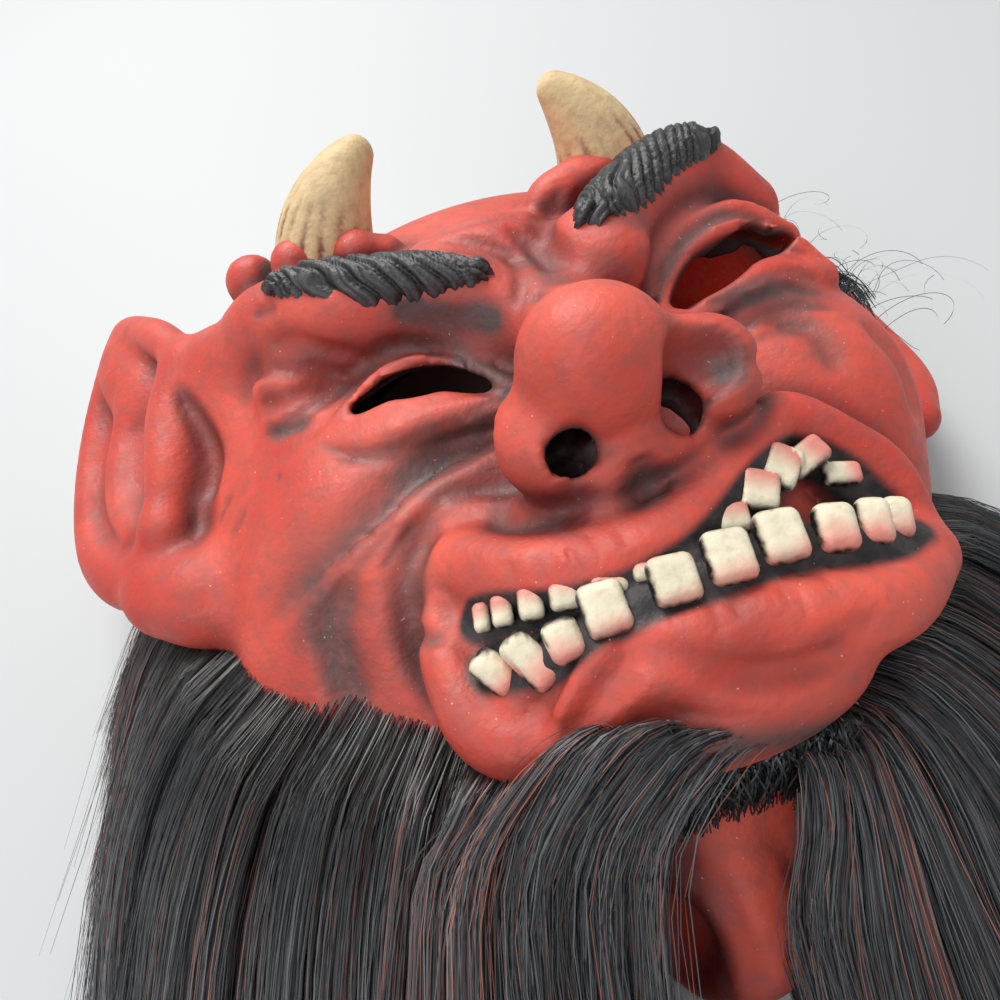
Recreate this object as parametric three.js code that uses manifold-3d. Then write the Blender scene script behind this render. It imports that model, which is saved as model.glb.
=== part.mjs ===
// Devil mask of soft vinyl with long black hair, lying face up on its open back.
// Millimetres, +Z up. The crown points to +Y, the chin to -Y, and the floor is Z = 0.
import * as THREE from "three";
import { mergeVertices } from "three/addons/utils/BufferGeometryUtils.js";
import Module from "manifold-3d";

const wasm = await Module();
wasm.setup();

// Driving dimensions
const WALL = 3; // vinyl wall
const SKULL_HALF = [86, 78, 66]; // half width, half length and height of the dome
const NOSE_HALF = [14.5, 14, 15.5]; // bulb of the nose
const LIP_RADIUS = 7.5;
const BROW_RADIUS = 6.5;
const HORN_BASE_RADIUS = 13;
const HORN_TIP_RADIUS = 4;
const EYE_LEFT_HALF = [14.8, 4.3, 18]; // lens-shaped hole, nearly shut
const EYE_RIGHT_HALF = [17.5, 6, 20]; // lens-shaped hole, wide open
const NOSTRIL_LEFT_HALF = [4.6, 3.8, 15];
const NOSTRIL_RIGHT_HALF = [4.2, 5.5, 15];
const EAR_LENGTH = 100;
const EAR_THICKNESS = 6;
const EAR_SLOPE = 24; // degrees below level, from root to rim
const HAIR_GAP = 2.5; // air between the shell and its hair
const HAIR_THIN = 5; // height of the hair where it lies on the floor
const HAIR_SHOULDER = 3; // how far the hair runs out level before it falls
const HAIR_FALL = 1.7; // how long a lock stays up before it falls
const LOCK_RELIEF = 0.05; // share by which every other lock stands higher and reaches further
const PARTING = 0.5; // how far the end of a lot is drawn in from its neighbour
const CENTRE = [-6, -36, 0]; // middle of the open back, where all spokes start
const MIDDLE = [-6.7, -31.7, 0]; // foot of the whole outline's middle, which becomes the origin
const VINYL_COLOUR = 0xb5352c;
const HAIR_COLOUR = 0x17171a;
const SPOKES = 64;
const FACE_ANGLE = 42; // the face lies within this many degrees of straight up
const FACE_RINGS = 16;
const SIDE_RINGS = 8;
const STEEPEST = 1.7; // rise over run of the steepest skin

// Vectors as plain arrays
const add = (a, b) => a.map((v, i) => v + b[i]);
const sub = (a, b) => a.map((v, i) => v - b[i]);
const scale = (a, s) => a.map((v) => v * s);
const dot = (a, b) => a[0] * b[0] + a[1] * b[1] + a[2] * b[2];
const cross = (a, b) => [a[1] * b[2] - a[2] * b[1], a[2] * b[0] - a[0] * b[2], a[0] * b[1] - a[1] * b[0]];
const length = (a) => Math.hypot(a[0], a[1], a[2]);
const unit = (a) => scale(a, 1 / (length(a) || 1));
const clamp = (v, low, high) => Math.min(high, Math.max(low, v));
const mix = (a, b, t) => a + (b - a) * t;
const radians = THREE.MathUtils.degToRad;

// Joins two distances with a fillet about k wide
function smoothMin(a, b, k) {
  const h = clamp(0.5 + (0.5 * (b - a)) / k, 0, 1);
  return mix(b, a, h) - k * h * (1 - h);
}

// Smooth curve through the points; a fourth number, the radius, runs along with it
function smoothPath(points, steps = 4) {
  const first = points[0].map((v, i) => 2 * v - points[1][i]);
  const last = points.at(-1).map((v, i) => 2 * v - points.at(-2)[i]);
  const p = [first, ...points, last];
  const path = [];
  for (let i = 1; i < p.length - 2; i++) {
    for (let s = 0; s < steps; s++) {
      const t = s / steps;
      path.push(
        p[i].map((b, j) => {
          const [a, c, d] = [p[i - 1][j], p[i + 1][j], p[i + 2][j]];
          const square = 2 * a - 5 * b + 4 * c - d;
          const cube = 3 * b - a - 3 * c + d;
          return 0.5 * (2 * b + (c - a) * t + square * t * t + cube * t * t * t);
        }),
      );
    }
  }
  path.push(points.at(-1));
  return path;
}

// A form is a distance, the fillet it joins with, and the box in which it counts
function boxed(distance, blend, cut, low, high) {
  const margin = blend + 1.5;
  return { distance, blend, cut, low: low.map((v) => v - margin), high: high.map((v) => v + margin) };
}

// Ellipsoid, turned about Z by so many degrees
function ball(centre, half, blend, { turn = 0, tip = 0, cut = false } = {}) {
  const axes = new THREE.Matrix3().setFromMatrix4(
    new THREE.Matrix4().makeRotationFromEuler(new THREE.Euler(radians(tip), 0, radians(turn), "ZYX")),
  );
  const rows = axes.clone().transpose().elements;
  const distance = (p) => {
    const q = sub(p, centre);
    let near = 0;
    let steep = 0;
    for (let i = 0; i < 3; i++) {
      const along = rows[i] * q[0] + rows[i + 3] * q[1] + rows[i + 6] * q[2];
      near += (along / half[i]) ** 2;
      steep += (along / half[i] ** 2) ** 2;
    }
    near = Math.sqrt(near);
    return (near * (near - 1)) / (Math.sqrt(steep) + 1e-9);
  };
  const reach = Math.max(...half);
  return boxed(distance, blend, cut, centre.map((v) => v - reach), centre.map((v) => v + reach));
}

// Round bar along a smooth path of [x, y, z, radius]
function bar(points, blend, { cut = false } = {}) {
  const path = smoothPath(points);
  const distance = (p) => {
    let best = Infinity;
    for (let i = 0; i + 1 < path.length; i++) {
      const [a, b] = [path[i], path[i + 1]];
      const e = [b[0] - a[0], b[1] - a[1], b[2] - a[2]];
      const q = sub(p, a.slice(0, 3));
      const t = clamp(dot(q, e) / (dot(e, e) + 1e-9), 0, 1);
      best = Math.min(best, Math.hypot(q[0] - t * e[0], q[1] - t * e[1], q[2] - t * e[2]) - mix(a[3], b[3], t));
    }
    return best;
  };
  const low = [0, 1, 2].map((i) => Math.min(...path.map((q) => q[i] - q[3])));
  const high = [0, 1, 2].map((i) => Math.max(...path.map((q) => q[i] + q[3])));
  return boxed(distance, blend, cut, low, high);
}

// Skull, jaw, neck and cheeks
function headForms() {
  return [
    ball([-8, 12, 8], SKULL_HALF, 1),
    ball([-7, 46, 34], [68, 40, 40], 14),
    ball([-56, 6, 34], [38, 56, 30], 14),
    ball([46, 4, 38], [32, 54, 30], 14),
    ball([-76, 44, 44], [24, 24, 22], 12),
    ball([-56, -34, 28], [36, 34, 28], 14),
    ball([40, -34, 28], [34, 34, 30], 14),
    ball([-8, -56, 26], [56, 40, 34], 14),
    ball([-6, -84, 8], [40, 24, 36], 10),
    ball([-9, -98, 6], [22, 26, 28], 8),
    ball([-6, -56, 54], [38, 28, 25], 12),
    ball([-46, -20, 50], [30, 28, 20], 12),
    ball([46, -20, 50], [26, 28, 22], 12),
    ball([-1, -85, 59], [24, 9.5, 13], 7),
  ];
}

// Brow shelves, the knobs between them and the sunk sockets
function browAndSocketForms() {
  return [
    bar([[-70, 40, 64, 9], [-58, 34, 72, 11], [-34, 19, 77, 11.5], [-12, 9, 76, 11]], 8),
    bar([[14, 13, 78, 12], [34, 25, 78, 11.5], [48, 33, 76, 11], [60, 28, 66, 10]], 8),
    ball([-8, 28, 69], [26, 16, 16.5], 8),
    ball([16, 5, 77], [10, 9, 12], 5),
    ball([-9, 6, 74], [7, 9, 11], 4),
    ball([-38, 5, 86], [24, 7, 11], 6, { turn: -14, cut: true }),
    ball([44, 10, 93], [20, 6, 8], 6, { turn: 10, cut: true }),
    ball([-34, -5, 62], [18, 11, 13], 6),
    ball([42, -3, 64], [19, 12, 14], 6),
    bar([[22, 3, 74, 4], [34, 11, 76, 5], [48, 13, 76, 5.5], [60, 9, 70, 5]], 5),
    ball([-60, 18, 66], [10, 7, 8], 6),
    ball([-60, 9, 62], [9, 6, 7], 5),
  ];
}

// Bridge, bulb and wings of the nose
function noseForms() {
  return [
    bar([[1, 6, 74, 8], [-1, -10, 80, 10], [-3, -24, 87, 13]], 8),
    ball([-4, -32, 91], NOSE_HALF, 4),
    ball([-17, -37, 81], [8.5, 12, 9.5], 4, { turn: 15 }),
    ball([15, -36, 85], [10.5, 11, 10.5], 7, { turn: -10 }),
    bar([[-12, -47, 78, 4], [-3, -47, 82, 5], [8, -45, 79, 4]], 4),
    ball([12, -41, 94], [8, 6, 7], 3, { cut: true }),
  ];
}

// The snarling mouth: the hollow, two lips and two gums
function mouthForms() {
  const r = LIP_RADIUS;
  return [
    bar(
      [[-42, -60, 70, 3], [-36, -64, 74, 7], [-24, -67, 79, 7], [-12, -69, 81, 6.5], [0, -69, 82, 7],
        [12, -67, 82, 9], [22, -64, 80, 10], [32, -64, 75, 9], [40, -66, 68, 6]],
      3,
      { cut: true },
    ),
    bar(
      [[-44, -44, 62, 5], [-37, -45, 66, 6], [-28, -55, 71, 6.5], [-16, -61, 74, 6.5], [-2, -60, 75, 6],
        [12, -53, 74, 6], [22, -46, 73, 6], [29, -43, 72, 6], [37, -48, 68, 6], [44, -56, 62, 6], [46, -66, 56, 5]],
      4,
    ),
    bar(
      [[42, -72, 58, 7], [30, -79, 64, r], [21, -81, 68, r], [9, -80, 71, r], [-1, -78.5, 71, r], [-12, -78, 71, r],
        [-20, -78, 69, 7], [-27, -80, 66, 6.5], [-34, -81, 62, 6], [-41, -78, 61, 6], [-45, -72, 61, 5.5],
        [-46, -62, 61, 5], [-46, -52, 61, 4]],
      4,
    ),
    bar(
      [[-42, -66, 62, 3], [-35, -71, 65, 4.5], [-27, -72, 69, 5], [-18, -71, 72, 5], [-7, -70, 74, 5], [2, -70, 75, 5],
        [11, -70, 74, 5], [20, -71, 72, 5], [29, -72, 68, 5], [38, -70, 61, 4]],
      1.5,
    ),
    bar(
      [[-41, -57, 62, 3], [-34, -58.5, 64, 3.5], [-24, -62, 68, 4], [-8, -64, 71, 4], [0, -63, 71, 4], [8, -60, 71, 4],
        [15, -56.5, 71, 4], [22, -53, 70, 4], [28, -51.5, 68, 4], [34, -56, 64, 4], [38, -63, 60, 4]],
      1.5,
    ),
  ];
}

// Upper and lower rims of the eyes
function lidForms() {
  return [
    bar([[-62, -5, 63, 2], [-55, -4, 67, 2.4], [-48, 0, 70, 2.6], [-38, 3, 73, 3], [-27, 1, 74, 3], [-20, -6, 73, 2.5],
      [-14, -13, 72, 2]], 2),
    bar([[-55, -8, 66, 2.5], [-40, -13, 70, 4.5], [-29, -14, 71, 4.5], [-19, -15, 71, 3]], 2.5),
    bar([[20, -8, 75, 2], [28, 3, 77, 2.5], [38, 8, 78, 3], [47, 7, 78, 3], [56, 2, 75, 3], [62, -5, 70, 2.5]], 2),
    bar([[20, -10, 74, 2.5], [30, -10, 74, 3], [42, -9, 75, 3], [52, -7, 73, 3], [62, -7, 69, 3]], 2),
  ];
}

// Fleshy lumps round the feet of the horns: centre and radius
function collarForms() {
  const lumps = [[-63, 53, 73, 7], [-51, 46, 79, 6], [-36, 42, 79, 6], [15, 44, 75, 6], [44, 50, 74, 6]];
  return [
    ...lumps.map(([x, y, z, r]) => ball([x, y, z], [r, r, r], 3)),
    bar([[13, 42, 75, 5], [20, 45, 77, 6], [28, 46, 77, 6.5], [36, 47, 76, 6], [43, 50, 74, 5]], 4),
  ];
}

// Distance to all the forms, joined one after the other
function fieldOf(forms) {
  return (p) => {
    let d = 40;
    for (const form of forms) {
      const far = p.some((v, i) => v < form.low[i] || v > form.high[i]);
      if (far) continue;
      const own = form.distance(p);
      d = form.cut ? -smoothMin(-d, own, form.blend) : smoothMin(d, own, form.blend);
    }
    return d;
  };
}

// Outermost crossing of the field along a ray; returns its distance from the start
function hit(field, start, direction, from = 175) {
  const step = 2;
  let far = from;
  let near = from;
  while (near > 0 && field(add(start, scale(direction, near))) >= 0) {
    far = near;
    near -= step;
  }
  for (let i = 0; i < 14; i++) {
    const middle = (near + far) / 2;
    if (field(add(start, scale(direction, middle))) < 0) near = middle;
    else far = middle;
  }
  return near;
}

// A fold sinks or raises the skin along a path that is first laid onto the skin
function fold(skin, points, width, height) {
  const path = smoothPath(points, 3).map((p) => {
    const direction = unit(sub(p, CENTRE));
    return add(CENTRE, scale(direction, hit(skin, CENTRE, direction)));
  });
  const reach = 2.4 * width;
  const low = [0, 1, 2].map((i) => Math.min(...path.map((q) => q[i])) - reach);
  const high = [0, 1, 2].map((i) => Math.max(...path.map((q) => q[i])) + reach);
  return (p) => {
    if (p.some((v, i) => v < low[i] || v > high[i])) return 0;
    let best = Infinity;
    let along = 0;
    for (let i = 0; i + 1 < path.length; i++) {
      const e = sub(path[i + 1], path[i]);
      const q = sub(p, path[i]);
      const t = clamp(dot(q, e) / (dot(e, e) + 1e-9), 0, 1);
      const d = length(sub(q, scale(e, t)));
      if (d < best) {
        best = d;
        along = (i + t) / (path.length - 1);
      }
    }
    const fade = THREE.MathUtils.smoothstep(Math.min(along, 1 - along), 0, 0.25);
    return height * fade * Math.exp(-((best / width) ** 2));
  };
}

// Deep folds of the face: path, width and height
function foldsOn(skin) {
  return [
    [[[-19, -22, 74], [-32, -26, 71], [-45, -30, 68], [-55, -32, 64], [-66, -33, 58], [-80, -31, 50]], 5, -3],
    [[[-56, -33, 62], [-64, -40, 57], [-68, -48, 51], [-69, -58, 44]], 4, -2.2],
    [[[-34, -34, 70], [-44, -40, 66], [-50, -49, 61], [-51, -60, 56], [-48, -72, 50]], 4, -3],
    [[[-70, 3, 62], [-59, 2, 68], [-50, 7, 72], [-34, 8, 76], [-20, -2, 76], [-14, -13, 75]], 2.2, -1.6],
    [[[-56, -7, 68], [-45, -16, 71], [-35, -18, 73], [-24, -19, 74], [-14, -19, 75]], 2.4, -1.6],
    [[[-74, 26, 68], [-62, 18, 70], [-50, 13, 72]], 3, -2],
    [[[-76, 16, 64], [-64, 10, 68], [-54, 6, 71]], 3, -2],
    [[[-21, -25, 78], [-26, -33, 78], [-27, -42, 76], [-21, -50, 77], [-12, -51, 79]], 2.5, -2],
    [[[-6, -49, 80], [-4, -52, 80], [-2, -55, 80]], 3.2, -3],
    [[[3, 20, 84], [2, 10, 84], [4, 0, 83]], 3, -2.4],
    [[[20, -4, 80], [26, 4, 82], [36, 9, 83], [48, 9, 82], [58, 4, 77]], 2.2, -1.8],
    [[[20, -12, 76], [32, -13, 78], [46, -11, 77], [60, -10, 70]], 2, -1.6],
    [[[24, -19, 75], [36, -21, 74], [48, -20, 72], [60, -18, 64]], 2.4, -1.6],
    [[[-26, -80, 70], [-20, -82, 70], [-10, -86, 71], [0, -87, 71], [12, -88, 69], [20, -88, 65]], 3, -2.2],
  ].map(([points, width, height]) => fold(skin, points, width, height));
}

// Angles from straight up for the rings: close together over the face, wider down the sides
function ringAngles() {
  const angles = [0];
  for (let i = 1; i <= FACE_RINGS; i++) angles.push((FACE_ANGLE * i) / FACE_RINGS);
  for (let i = 1; i <= SIDE_RINGS; i++) angles.push(FACE_ANGLE + ((90 - FACE_ANGLE) * i) / SIDE_RINGS);
  return angles.map(radians);
}

function spokeDirection(ring, spoke) {
  return [Math.sin(ring) * Math.cos(spoke), Math.sin(ring) * Math.sin(spoke), Math.cos(ring)];
}

function spokeAngle(index) {
  return (2 * Math.PI * index) / SPOKES;
}

// Solid from points and triangles
function solid(points, triangles) {
  const geometry = new THREE.BufferGeometry();
  geometry.setAttribute("position", new THREE.Float32BufferAttribute(points.flat(), 3));
  geometry.setIndex(triangles.flat());
  return toManifold(geometry);
}

function toManifold(geometry) {
  const bare = geometry.clone();
  bare.deleteAttribute("normal");
  bare.deleteAttribute("uv");
  const merged = mergeVertices(bare, 1e-3);
  return new wasm.Manifold(
    new wasm.Mesh({
      numProp: 3,
      vertProperties: merged.attributes.position.array,
      triVerts: new Uint32Array(merged.index.array),
    }),
  );
}

function toGeometry(manifold) {
  const mesh = manifold.getMesh();
  const geometry = new THREE.BufferGeometry();
  geometry.setAttribute("position", new THREE.Float32BufferAttribute(mesh.vertProperties, 3));
  geometry.setIndex(new THREE.Uint32BufferAttribute(mesh.triVerts, 1));
  geometry.computeVertexNormals();
  return geometry;
}

// Triangles that join loops of n places one to the next
function band(count, n) {
  const triangles = [];
  for (let k = 0; k + 1 < count; k++) {
    for (let j = 0; j < n; j++) {
      const [a, b] = [k * n + j, k * n + ((j + 1) % n)];
      triangles.push([a, b, b + n], [a, b + n, a + n]);
    }
  }
  return triangles;
}

// Skin of loops closed by a point at either end; each loop runs anticlockwise seen from the end that the
// loops run towards
function loft(loops, firstPole, lastPole) {
  const n = loops[0].length;
  const points = [...loops.flat(), firstPole, lastPole];
  const triangles = band(loops.length, n);
  const [first, last] = [points.length - 2, points.length - 1];
  const lastLoop = (loops.length - 1) * n;
  for (let j = 0; j < n; j++) {
    const next = (j + 1) % n;
    triangles.push([first, next, j], [last, lastLoop + j, lastLoop + next]);
  }
  return solid(points, triangles);
}

// End face of a loop that climbs for so many places and then falls again, joined across at equal heights
function endFace(loop, climbing) {
  const up = [...Array(climbing).keys()];
  const down = [...loop.keys()].slice(climbing).reverse();
  const triangles = [];
  let [i, j] = [0, 0];
  while (i + 1 < up.length || j + 1 < down.length) {
    const last = j + 1 === down.length;
    if (last || (i + 1 < up.length && loop[up[i + 1]][2] <= loop[down[j + 1]][2])) {
      triangles.push([up[i], up[i + 1], down[j]]);
      i++;
    } else {
      triangles.push([up[i], down[j + 1], down[j]]);
      j++;
    }
  }
  return triangles;
}

// Skin of loops that climb for so many places, closed by an end face at either end
function wedge(loops, climbing) {
  const lastLoop = (loops.length - 1) * loops[0].length;
  const first = endFace(loops[0], climbing).map(([a, b, c]) => [a, c, b]);
  const last = endFace(loops.at(-1), climbing).map((face) => face.map((v) => v + lastLoop));
  return solid(loops.flat(), [...band(loops.length, loops[0].length), ...first, ...last]);
}

// Radius of the skin on every ring and spoke. The first ring is the pole, where all spokes agree
function skinRadii(field, rings) {
  const radius = rings.map((ring) =>
    Array.from({ length: SPOKES }, (_, j) => hit(field, CENTRE, spokeDirection(ring, spokeAngle(j)))),
  );
  for (let pass = 0; pass < 6; pass++) easeCliffs(radius, rings);
  return radius;
}

// Neighbours of a place on the rings, each with the angle to it
function neighbours(rings, i, j) {
  const sideways = (2 * Math.PI * Math.sin(rings[i])) / SPOKES;
  const found = [
    [i, (j + 1) % SPOKES, sideways],
    [i, (j + SPOKES - 1) % SPOKES, sideways],
  ];
  if (i > 0) found.push([i - 1, j, rings[i] - rings[i - 1]]);
  if (i + 1 < rings.length) found.push([i + 1, j, rings[i + 1] - rings[i]]);
  return found;
}

// Fills undercuts, so that the skin nowhere falls away more steeply than STEEPEST
function easeCliffs(radius, rings) {
  for (let i = 1; i < rings.length; i++) {
    for (let j = 0; j < SPOKES; j++) {
      for (const [m, n, angle] of neighbours(rings, i, j)) {
        radius[i][j] = Math.max(radius[i][j], radius[m][n] * (1 - STEEPEST * angle));
      }
    }
  }
}

// How much longer the wall is along a spoke than straight through the skin
function slant(radius, rings, i, j) {
  const rise = neighbours(rings, i, j).map(([m, n, angle]) => Math.abs(radius[m][n] / radius[i][j] - 1) / (angle || 1));
  return Math.min(Math.hypot(1, Math.max(...rise)), 1.8);
}

// Radii of the inner face. It has a corner on every second ring and spoke only, so the corners are lowered
// until the wall is whole at the places between them too
function innerRadii(radius, rings) {
  const limit = radius.map((ring, i) => ring.map((own, j) => own - WALL * slant(radius, rings, i, j)));
  const inner = limit.map((ring) => [...ring]);
  for (let pass = 0; pass < 6; pass++) {
    inner[0].fill(Math.min(...inner[0]));
    for (let i = 0; i < rings.length; i++) {
      for (let j = 0; j < SPOKES; j++) {
        const above = i % 2 ? [i - 1, i + 1] : [i];
        const beside = j % 2 ? [j - 1, (j + 1) % SPOKES] : [j];
        const corners = above.flatMap((m) => beside.map((n) => [m, n]));
        const height = corners.reduce((sum, [m, n]) => sum + inner[m][n], 0) / corners.length;
        const excess = Math.max(height - limit[i][j], 0);
        for (const [m, n] of corners) inner[m][n] -= excess;
      }
    }
  }
  return inner;
}

// Solid under a skin: every so many rings and spokes, closed by a point on the floor
function dome(radius, rings, every, floor) {
  const chosen = rings.map((_, i) => i).filter((i) => i > 0 && (rings.length - 1 - i) % every === 0);
  const loops = chosen.reverse().map((i) => {
    const loop = [];
    for (let j = 0; j < SPOKES; j += every) {
      const p = add(CENTRE, scale(spokeDirection(rings[i], spokeAngle(j)), radius[i][j]));
      loop.push([p[0], p[1], Math.max(p[2], 0)]);
    }
    return loop;
  });
  const foot = floor < 0 ? [loops[0].map(([x, y]) => [x, y, floor])] : [];
  const body = loft([...foot, ...loops], [CENTRE[0], CENTRE[1], floor], add(CENTRE, [0, 0, Math.min(...radius[0])]));
  return { body, loops };
}

// Round bar as a solid; shape(turn, along) multiplies the radius
function barSolid(points, sides, steps, shape = () => 1) {
  const path = smoothPath(points, steps);
  const loops = path.map((p, k) => {
    const before = path[Math.max(k - 1, 0)];
    const after = path[Math.min(k + 1, path.length - 1)];
    const tangent = unit(sub(after.slice(0, 3), before.slice(0, 3)));
    const across = unit(cross([0, 1, 0], tangent));
    const over = cross(tangent, across);
    const loop = [];
    for (let j = 0; j < sides; j++) {
      const turn = (2 * Math.PI * j) / sides;
      const r = p[3] * shape(turn, k / (path.length - 1));
      loop.push(add(p.slice(0, 3), add(scale(across, r * Math.cos(turn)), scale(over, r * Math.sin(turn)))));
    }
    return loop;
  });
  const pole = (from, to) => add(from.slice(0, 3), scale(unit(sub(from.slice(0, 3), to.slice(0, 3))), 0.55 * from[3]));
  return loft(loops, pole(path[0], path[1]), pole(path.at(-1), path.at(-2)));
}

// Ellipsoid as a solid
function ballSolid(centre, half, turn = 0, tip = 0) {
  const geometry = new THREE.SphereGeometry(1, 14, 10);
  geometry.scale(...half).rotateX(radians(tip)).rotateZ(radians(turn)).translate(...centre);
  return toManifold(geometry);
}

// Horn with shallow grooves at the foot
function horn(points) {
  const flute = (turn, along) => 1 + 0.05 * (1 - along) * Math.cos(6 * turn);
  return barSolid(points, 12, 2, flute);
}

function horns() {
  const [r, tip] = [HORN_BASE_RADIUS, HORN_TIP_RADIUS];
  return [
    horn([[-45, 49, 68, r], [-43, 52, 76, 0.94 * r], [-39, 55, 84, 0.78 * r], [-33, 58, 90, 0.55 * r], [-28, 60, 93, tip]]),
    horn([[34, 50, 68, r], [33.5, 53, 76, 0.92 * r], [31, 56, 84, 0.74 * r], [27, 59, 90, 0.52 * r], [24, 61, 94, tip]]),
  ];
}

// Eyebrow tuft, scalloped along its length as the strands lie
function brow(points) {
  const strands = (turn, along) => 1 + 0.1 * Math.cos(9 * Math.PI * along + 2 * turn);
  return barSolid(points, 8, 3, strands);
}

function brows() {
  const r = BROW_RADIUS;
  return [
    brow([[-61, 36, 80, 3], [-55, 34, 82, 5.5], [-42, 25, 84, r], [-30, 17.5, 85, r], [-19, 12, 84.5, 5.5], [-9, 7, 83, 3.5]]),
    brow([[14, 16, 83, 3], [20, 20, 85, 5], [29, 25, 86, r], [39, 31, 86.5, 7.5], [49, 35, 85, 7.5], [58, 32, 80, 5]]),
  ];
}

// Tooth: a plate with cut corners and a bevelled face; up is towards its tip or root, out is its face
function tooth([centre, [width, height, depth], lean]) {
  const bevel = 1;
  const [w, h] = [width / 2 - bevel, height / 2 - bevel];
  const corner = 0.3 * Math.min(w, h);
  const outline = new THREE.Shape();
  outline.moveTo(-w + corner, -h);
  outline.lineTo(w - corner, -h);
  outline.lineTo(w, -h + corner);
  outline.lineTo(w, h - corner);
  outline.lineTo(w - corner, h);
  outline.lineTo(-w + corner, h);
  outline.lineTo(-w, h - corner);
  outline.lineTo(-w, -h + corner);
  outline.closePath();
  const plate = new THREE.ExtrudeGeometry(outline, {
    depth: depth - 2 * bevel,
    bevelThickness: bevel,
    bevelSize: bevel,
    bevelSegments: 1,
    curveSegments: 1,
  });
  plate.translate(0, 0, -depth / 2);
  const out = unit([0.05, -0.25, 0.97]);
  const up = unit(sub(lean, scale(out, dot(lean, out))));
  const side = cross(up, out);
  const [x, y, z] = [side, up, out].map((v) => new THREE.Vector3(...v));
  plate.applyMatrix4(new THREE.Matrix4().makeBasis(x, y, z).setPosition(...centre));
  return toManifold(plate);
}

// Teeth: centre, size and the way each leans
function teeth() {
  const lower = [
    [[-38.5, -68.5, 68], [7, 9, 5], [-0.55, 0.85, 0.2]],
    [[-32.5, -70.5, 71], [7, 11, 5], [-0.45, 0.9, 0.2]],
    [[-26.5, -70.8, 74.5], [7.5, 7.5, 5], [-0.1, 1, 0.2]],
    [[-19.2, -69.8, 77.5], [8.8, 9.5, 5], [0.05, 1, 0.2]],
    [[-7.3, -69.8, 79], [9.5, 8.6, 5], [0.15, 1, 0.2]],
    [[2.2, -69.8, 80], [8.8, 9.8, 5], [0.15, 1, 0.2]],
    [[11.6, -69.4, 79.5], [9, 9.6, 5], [0.15, 1, 0.2]],
    [[21, -70.4, 77.5], [8.4, 9, 5], [0.3, 1, 0.2]],
    [[29.5, -70, 74], [7.5, 9, 5], [0.35, 1, 0.2]],
    [[36.5, -68.5, 69], [6.5, 8, 5], [0.4, 1, 0.2]],
  ];
  const upper = [
    [[-38, -57, 66], [3.6, 5, 5], [0.2, 0.97, 0.2]],
    [[-33.5, -59.5, 68], [4, 5.2, 5], [0.2, 0.97, 0.2]],
    [[-29, -61.5, 70.5], [4.4, 5.2, 5], [0.2, 0.97, 0.2]],
    [[-24, -64, 73.5], [5.2, 4.6, 5], [0.2, 0.97, 0.2]],
    [[-16.5, -66, 75.5], [6.5, 4, 5], [0.2, 0.97, 0.2]],
    [[7.5, -62, 75.5], [6, 5.5, 5], [0.2, 0.97, 0.2]],
    [[14.5, -58.5, 76], [7, 7.5, 5], [0.5, 0.85, 0.2]],
    [[21, -55, 75], [6.5, 8, 5], [0.7, 0.7, 0.2]],
    [[27, -53.5, 73], [6, 8, 5], [0.95, 0.3, 0.1]],
    [[33, -57, 69], [5.5, 7.5, 5], [0.9, -0.3, 0]],
  ];
  return [...lower, ...upper].map(tooth);
}

// Pointed ear: a dished leaf from lobe to tip. root and rim are its edges in X at each station along Y;
// side is 1 for the right ear and -1 for the left, whose corners run the other way round
function ear(stations, side) {
  const tilt = radians(EAR_SLOPE);
  const outward = [Math.cos(tilt), 0, -Math.sin(tilt)];
  const upward = [Math.sin(tilt), 0, Math.cos(tilt)];
  // Places across the leaf, from root to rim and back below: share of the width, height in thicknesses
  const section = [[0, 0.5], [0.3, -0.05], [0.55, 0.45], [0.75, 0.05], [0.95, 0.6], [1.06, 0.1], [0.95, -0.5], [0.5, -0.9], [0, -0.6]];
  const loops = stations.map(([y, z, root, rim]) => {
    const loop = section.map(([share, height]) => {
      const across = scale(outward, share * (rim - root));
      const p = add([root, y, z], add(across, scale(upward, height * EAR_THICKNESS)));
      return [side * p[0], p[1], p[2]];
    });
    return side < 0 ? loop.reverse() : loop;
  });
  const middle = (loop) => scale(loop.reduce(add), 1 / loop.length);
  return loft(loops, add(middle(loops[0]), [0, -2, 0]), add(middle(loops.at(-1)), [0, 4, 0]));
}

// Left ear stands off the head; the right one hangs lower. Stations: y, z, root, rim
function ears() {
  const share = [0, 0.12, 0.28, 0.46, 0.64, 0.82, 1];
  const width = [26, 36, 46, 48, 44, 36, 12];
  const stations = (root, start, heights) =>
    share.map((s, k) => [start + s * EAR_LENGTH, heights[k], root[k], root[k] + width[k]]);
  const left = stations([86, 82, 80, 79, 80, 84, 104], -8, [42, 46, 50, 52, 52, 50, 45]);
  const right = stations([68, 64, 62, 62, 64, 70, 84], -34, [30, 32, 34, 35, 35, 33, 30]);
  return [ear(left, -1), ear(right, 1)];
}

// Places on one spoke of the shell from the floor up to a height, evenly spread
function climb(loops, spoke, height, count) {
  const line = loops.map((loop) => loop[spoke]);
  const above = line.findIndex((p) => p[2] > height);
  const [low, high] = [line[above - 1], line[above]];
  const t = (height - low[2]) / (high[2] - low[2]);
  const below = [...line.slice(0, above), low.map((v, i) => mix(v, high[i], t))];
  return Array.from({ length: count }, (_, k) => {
    const place = (k / (count - 1)) * (below.length - 1);
    const start = Math.min(Math.floor(place), below.length - 2);
    return below[start].map((v, i) => mix(v, below[start + 1][i], place - start));
  });
}

// Value at a share of the way along a list of evenly spread values
function along(values, share) {
  const place = share * (values.length - 1);
  const start = Math.min(Math.floor(place), values.length - 2);
  return mix(values[start], values[start + 1], place - start);
}

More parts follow.
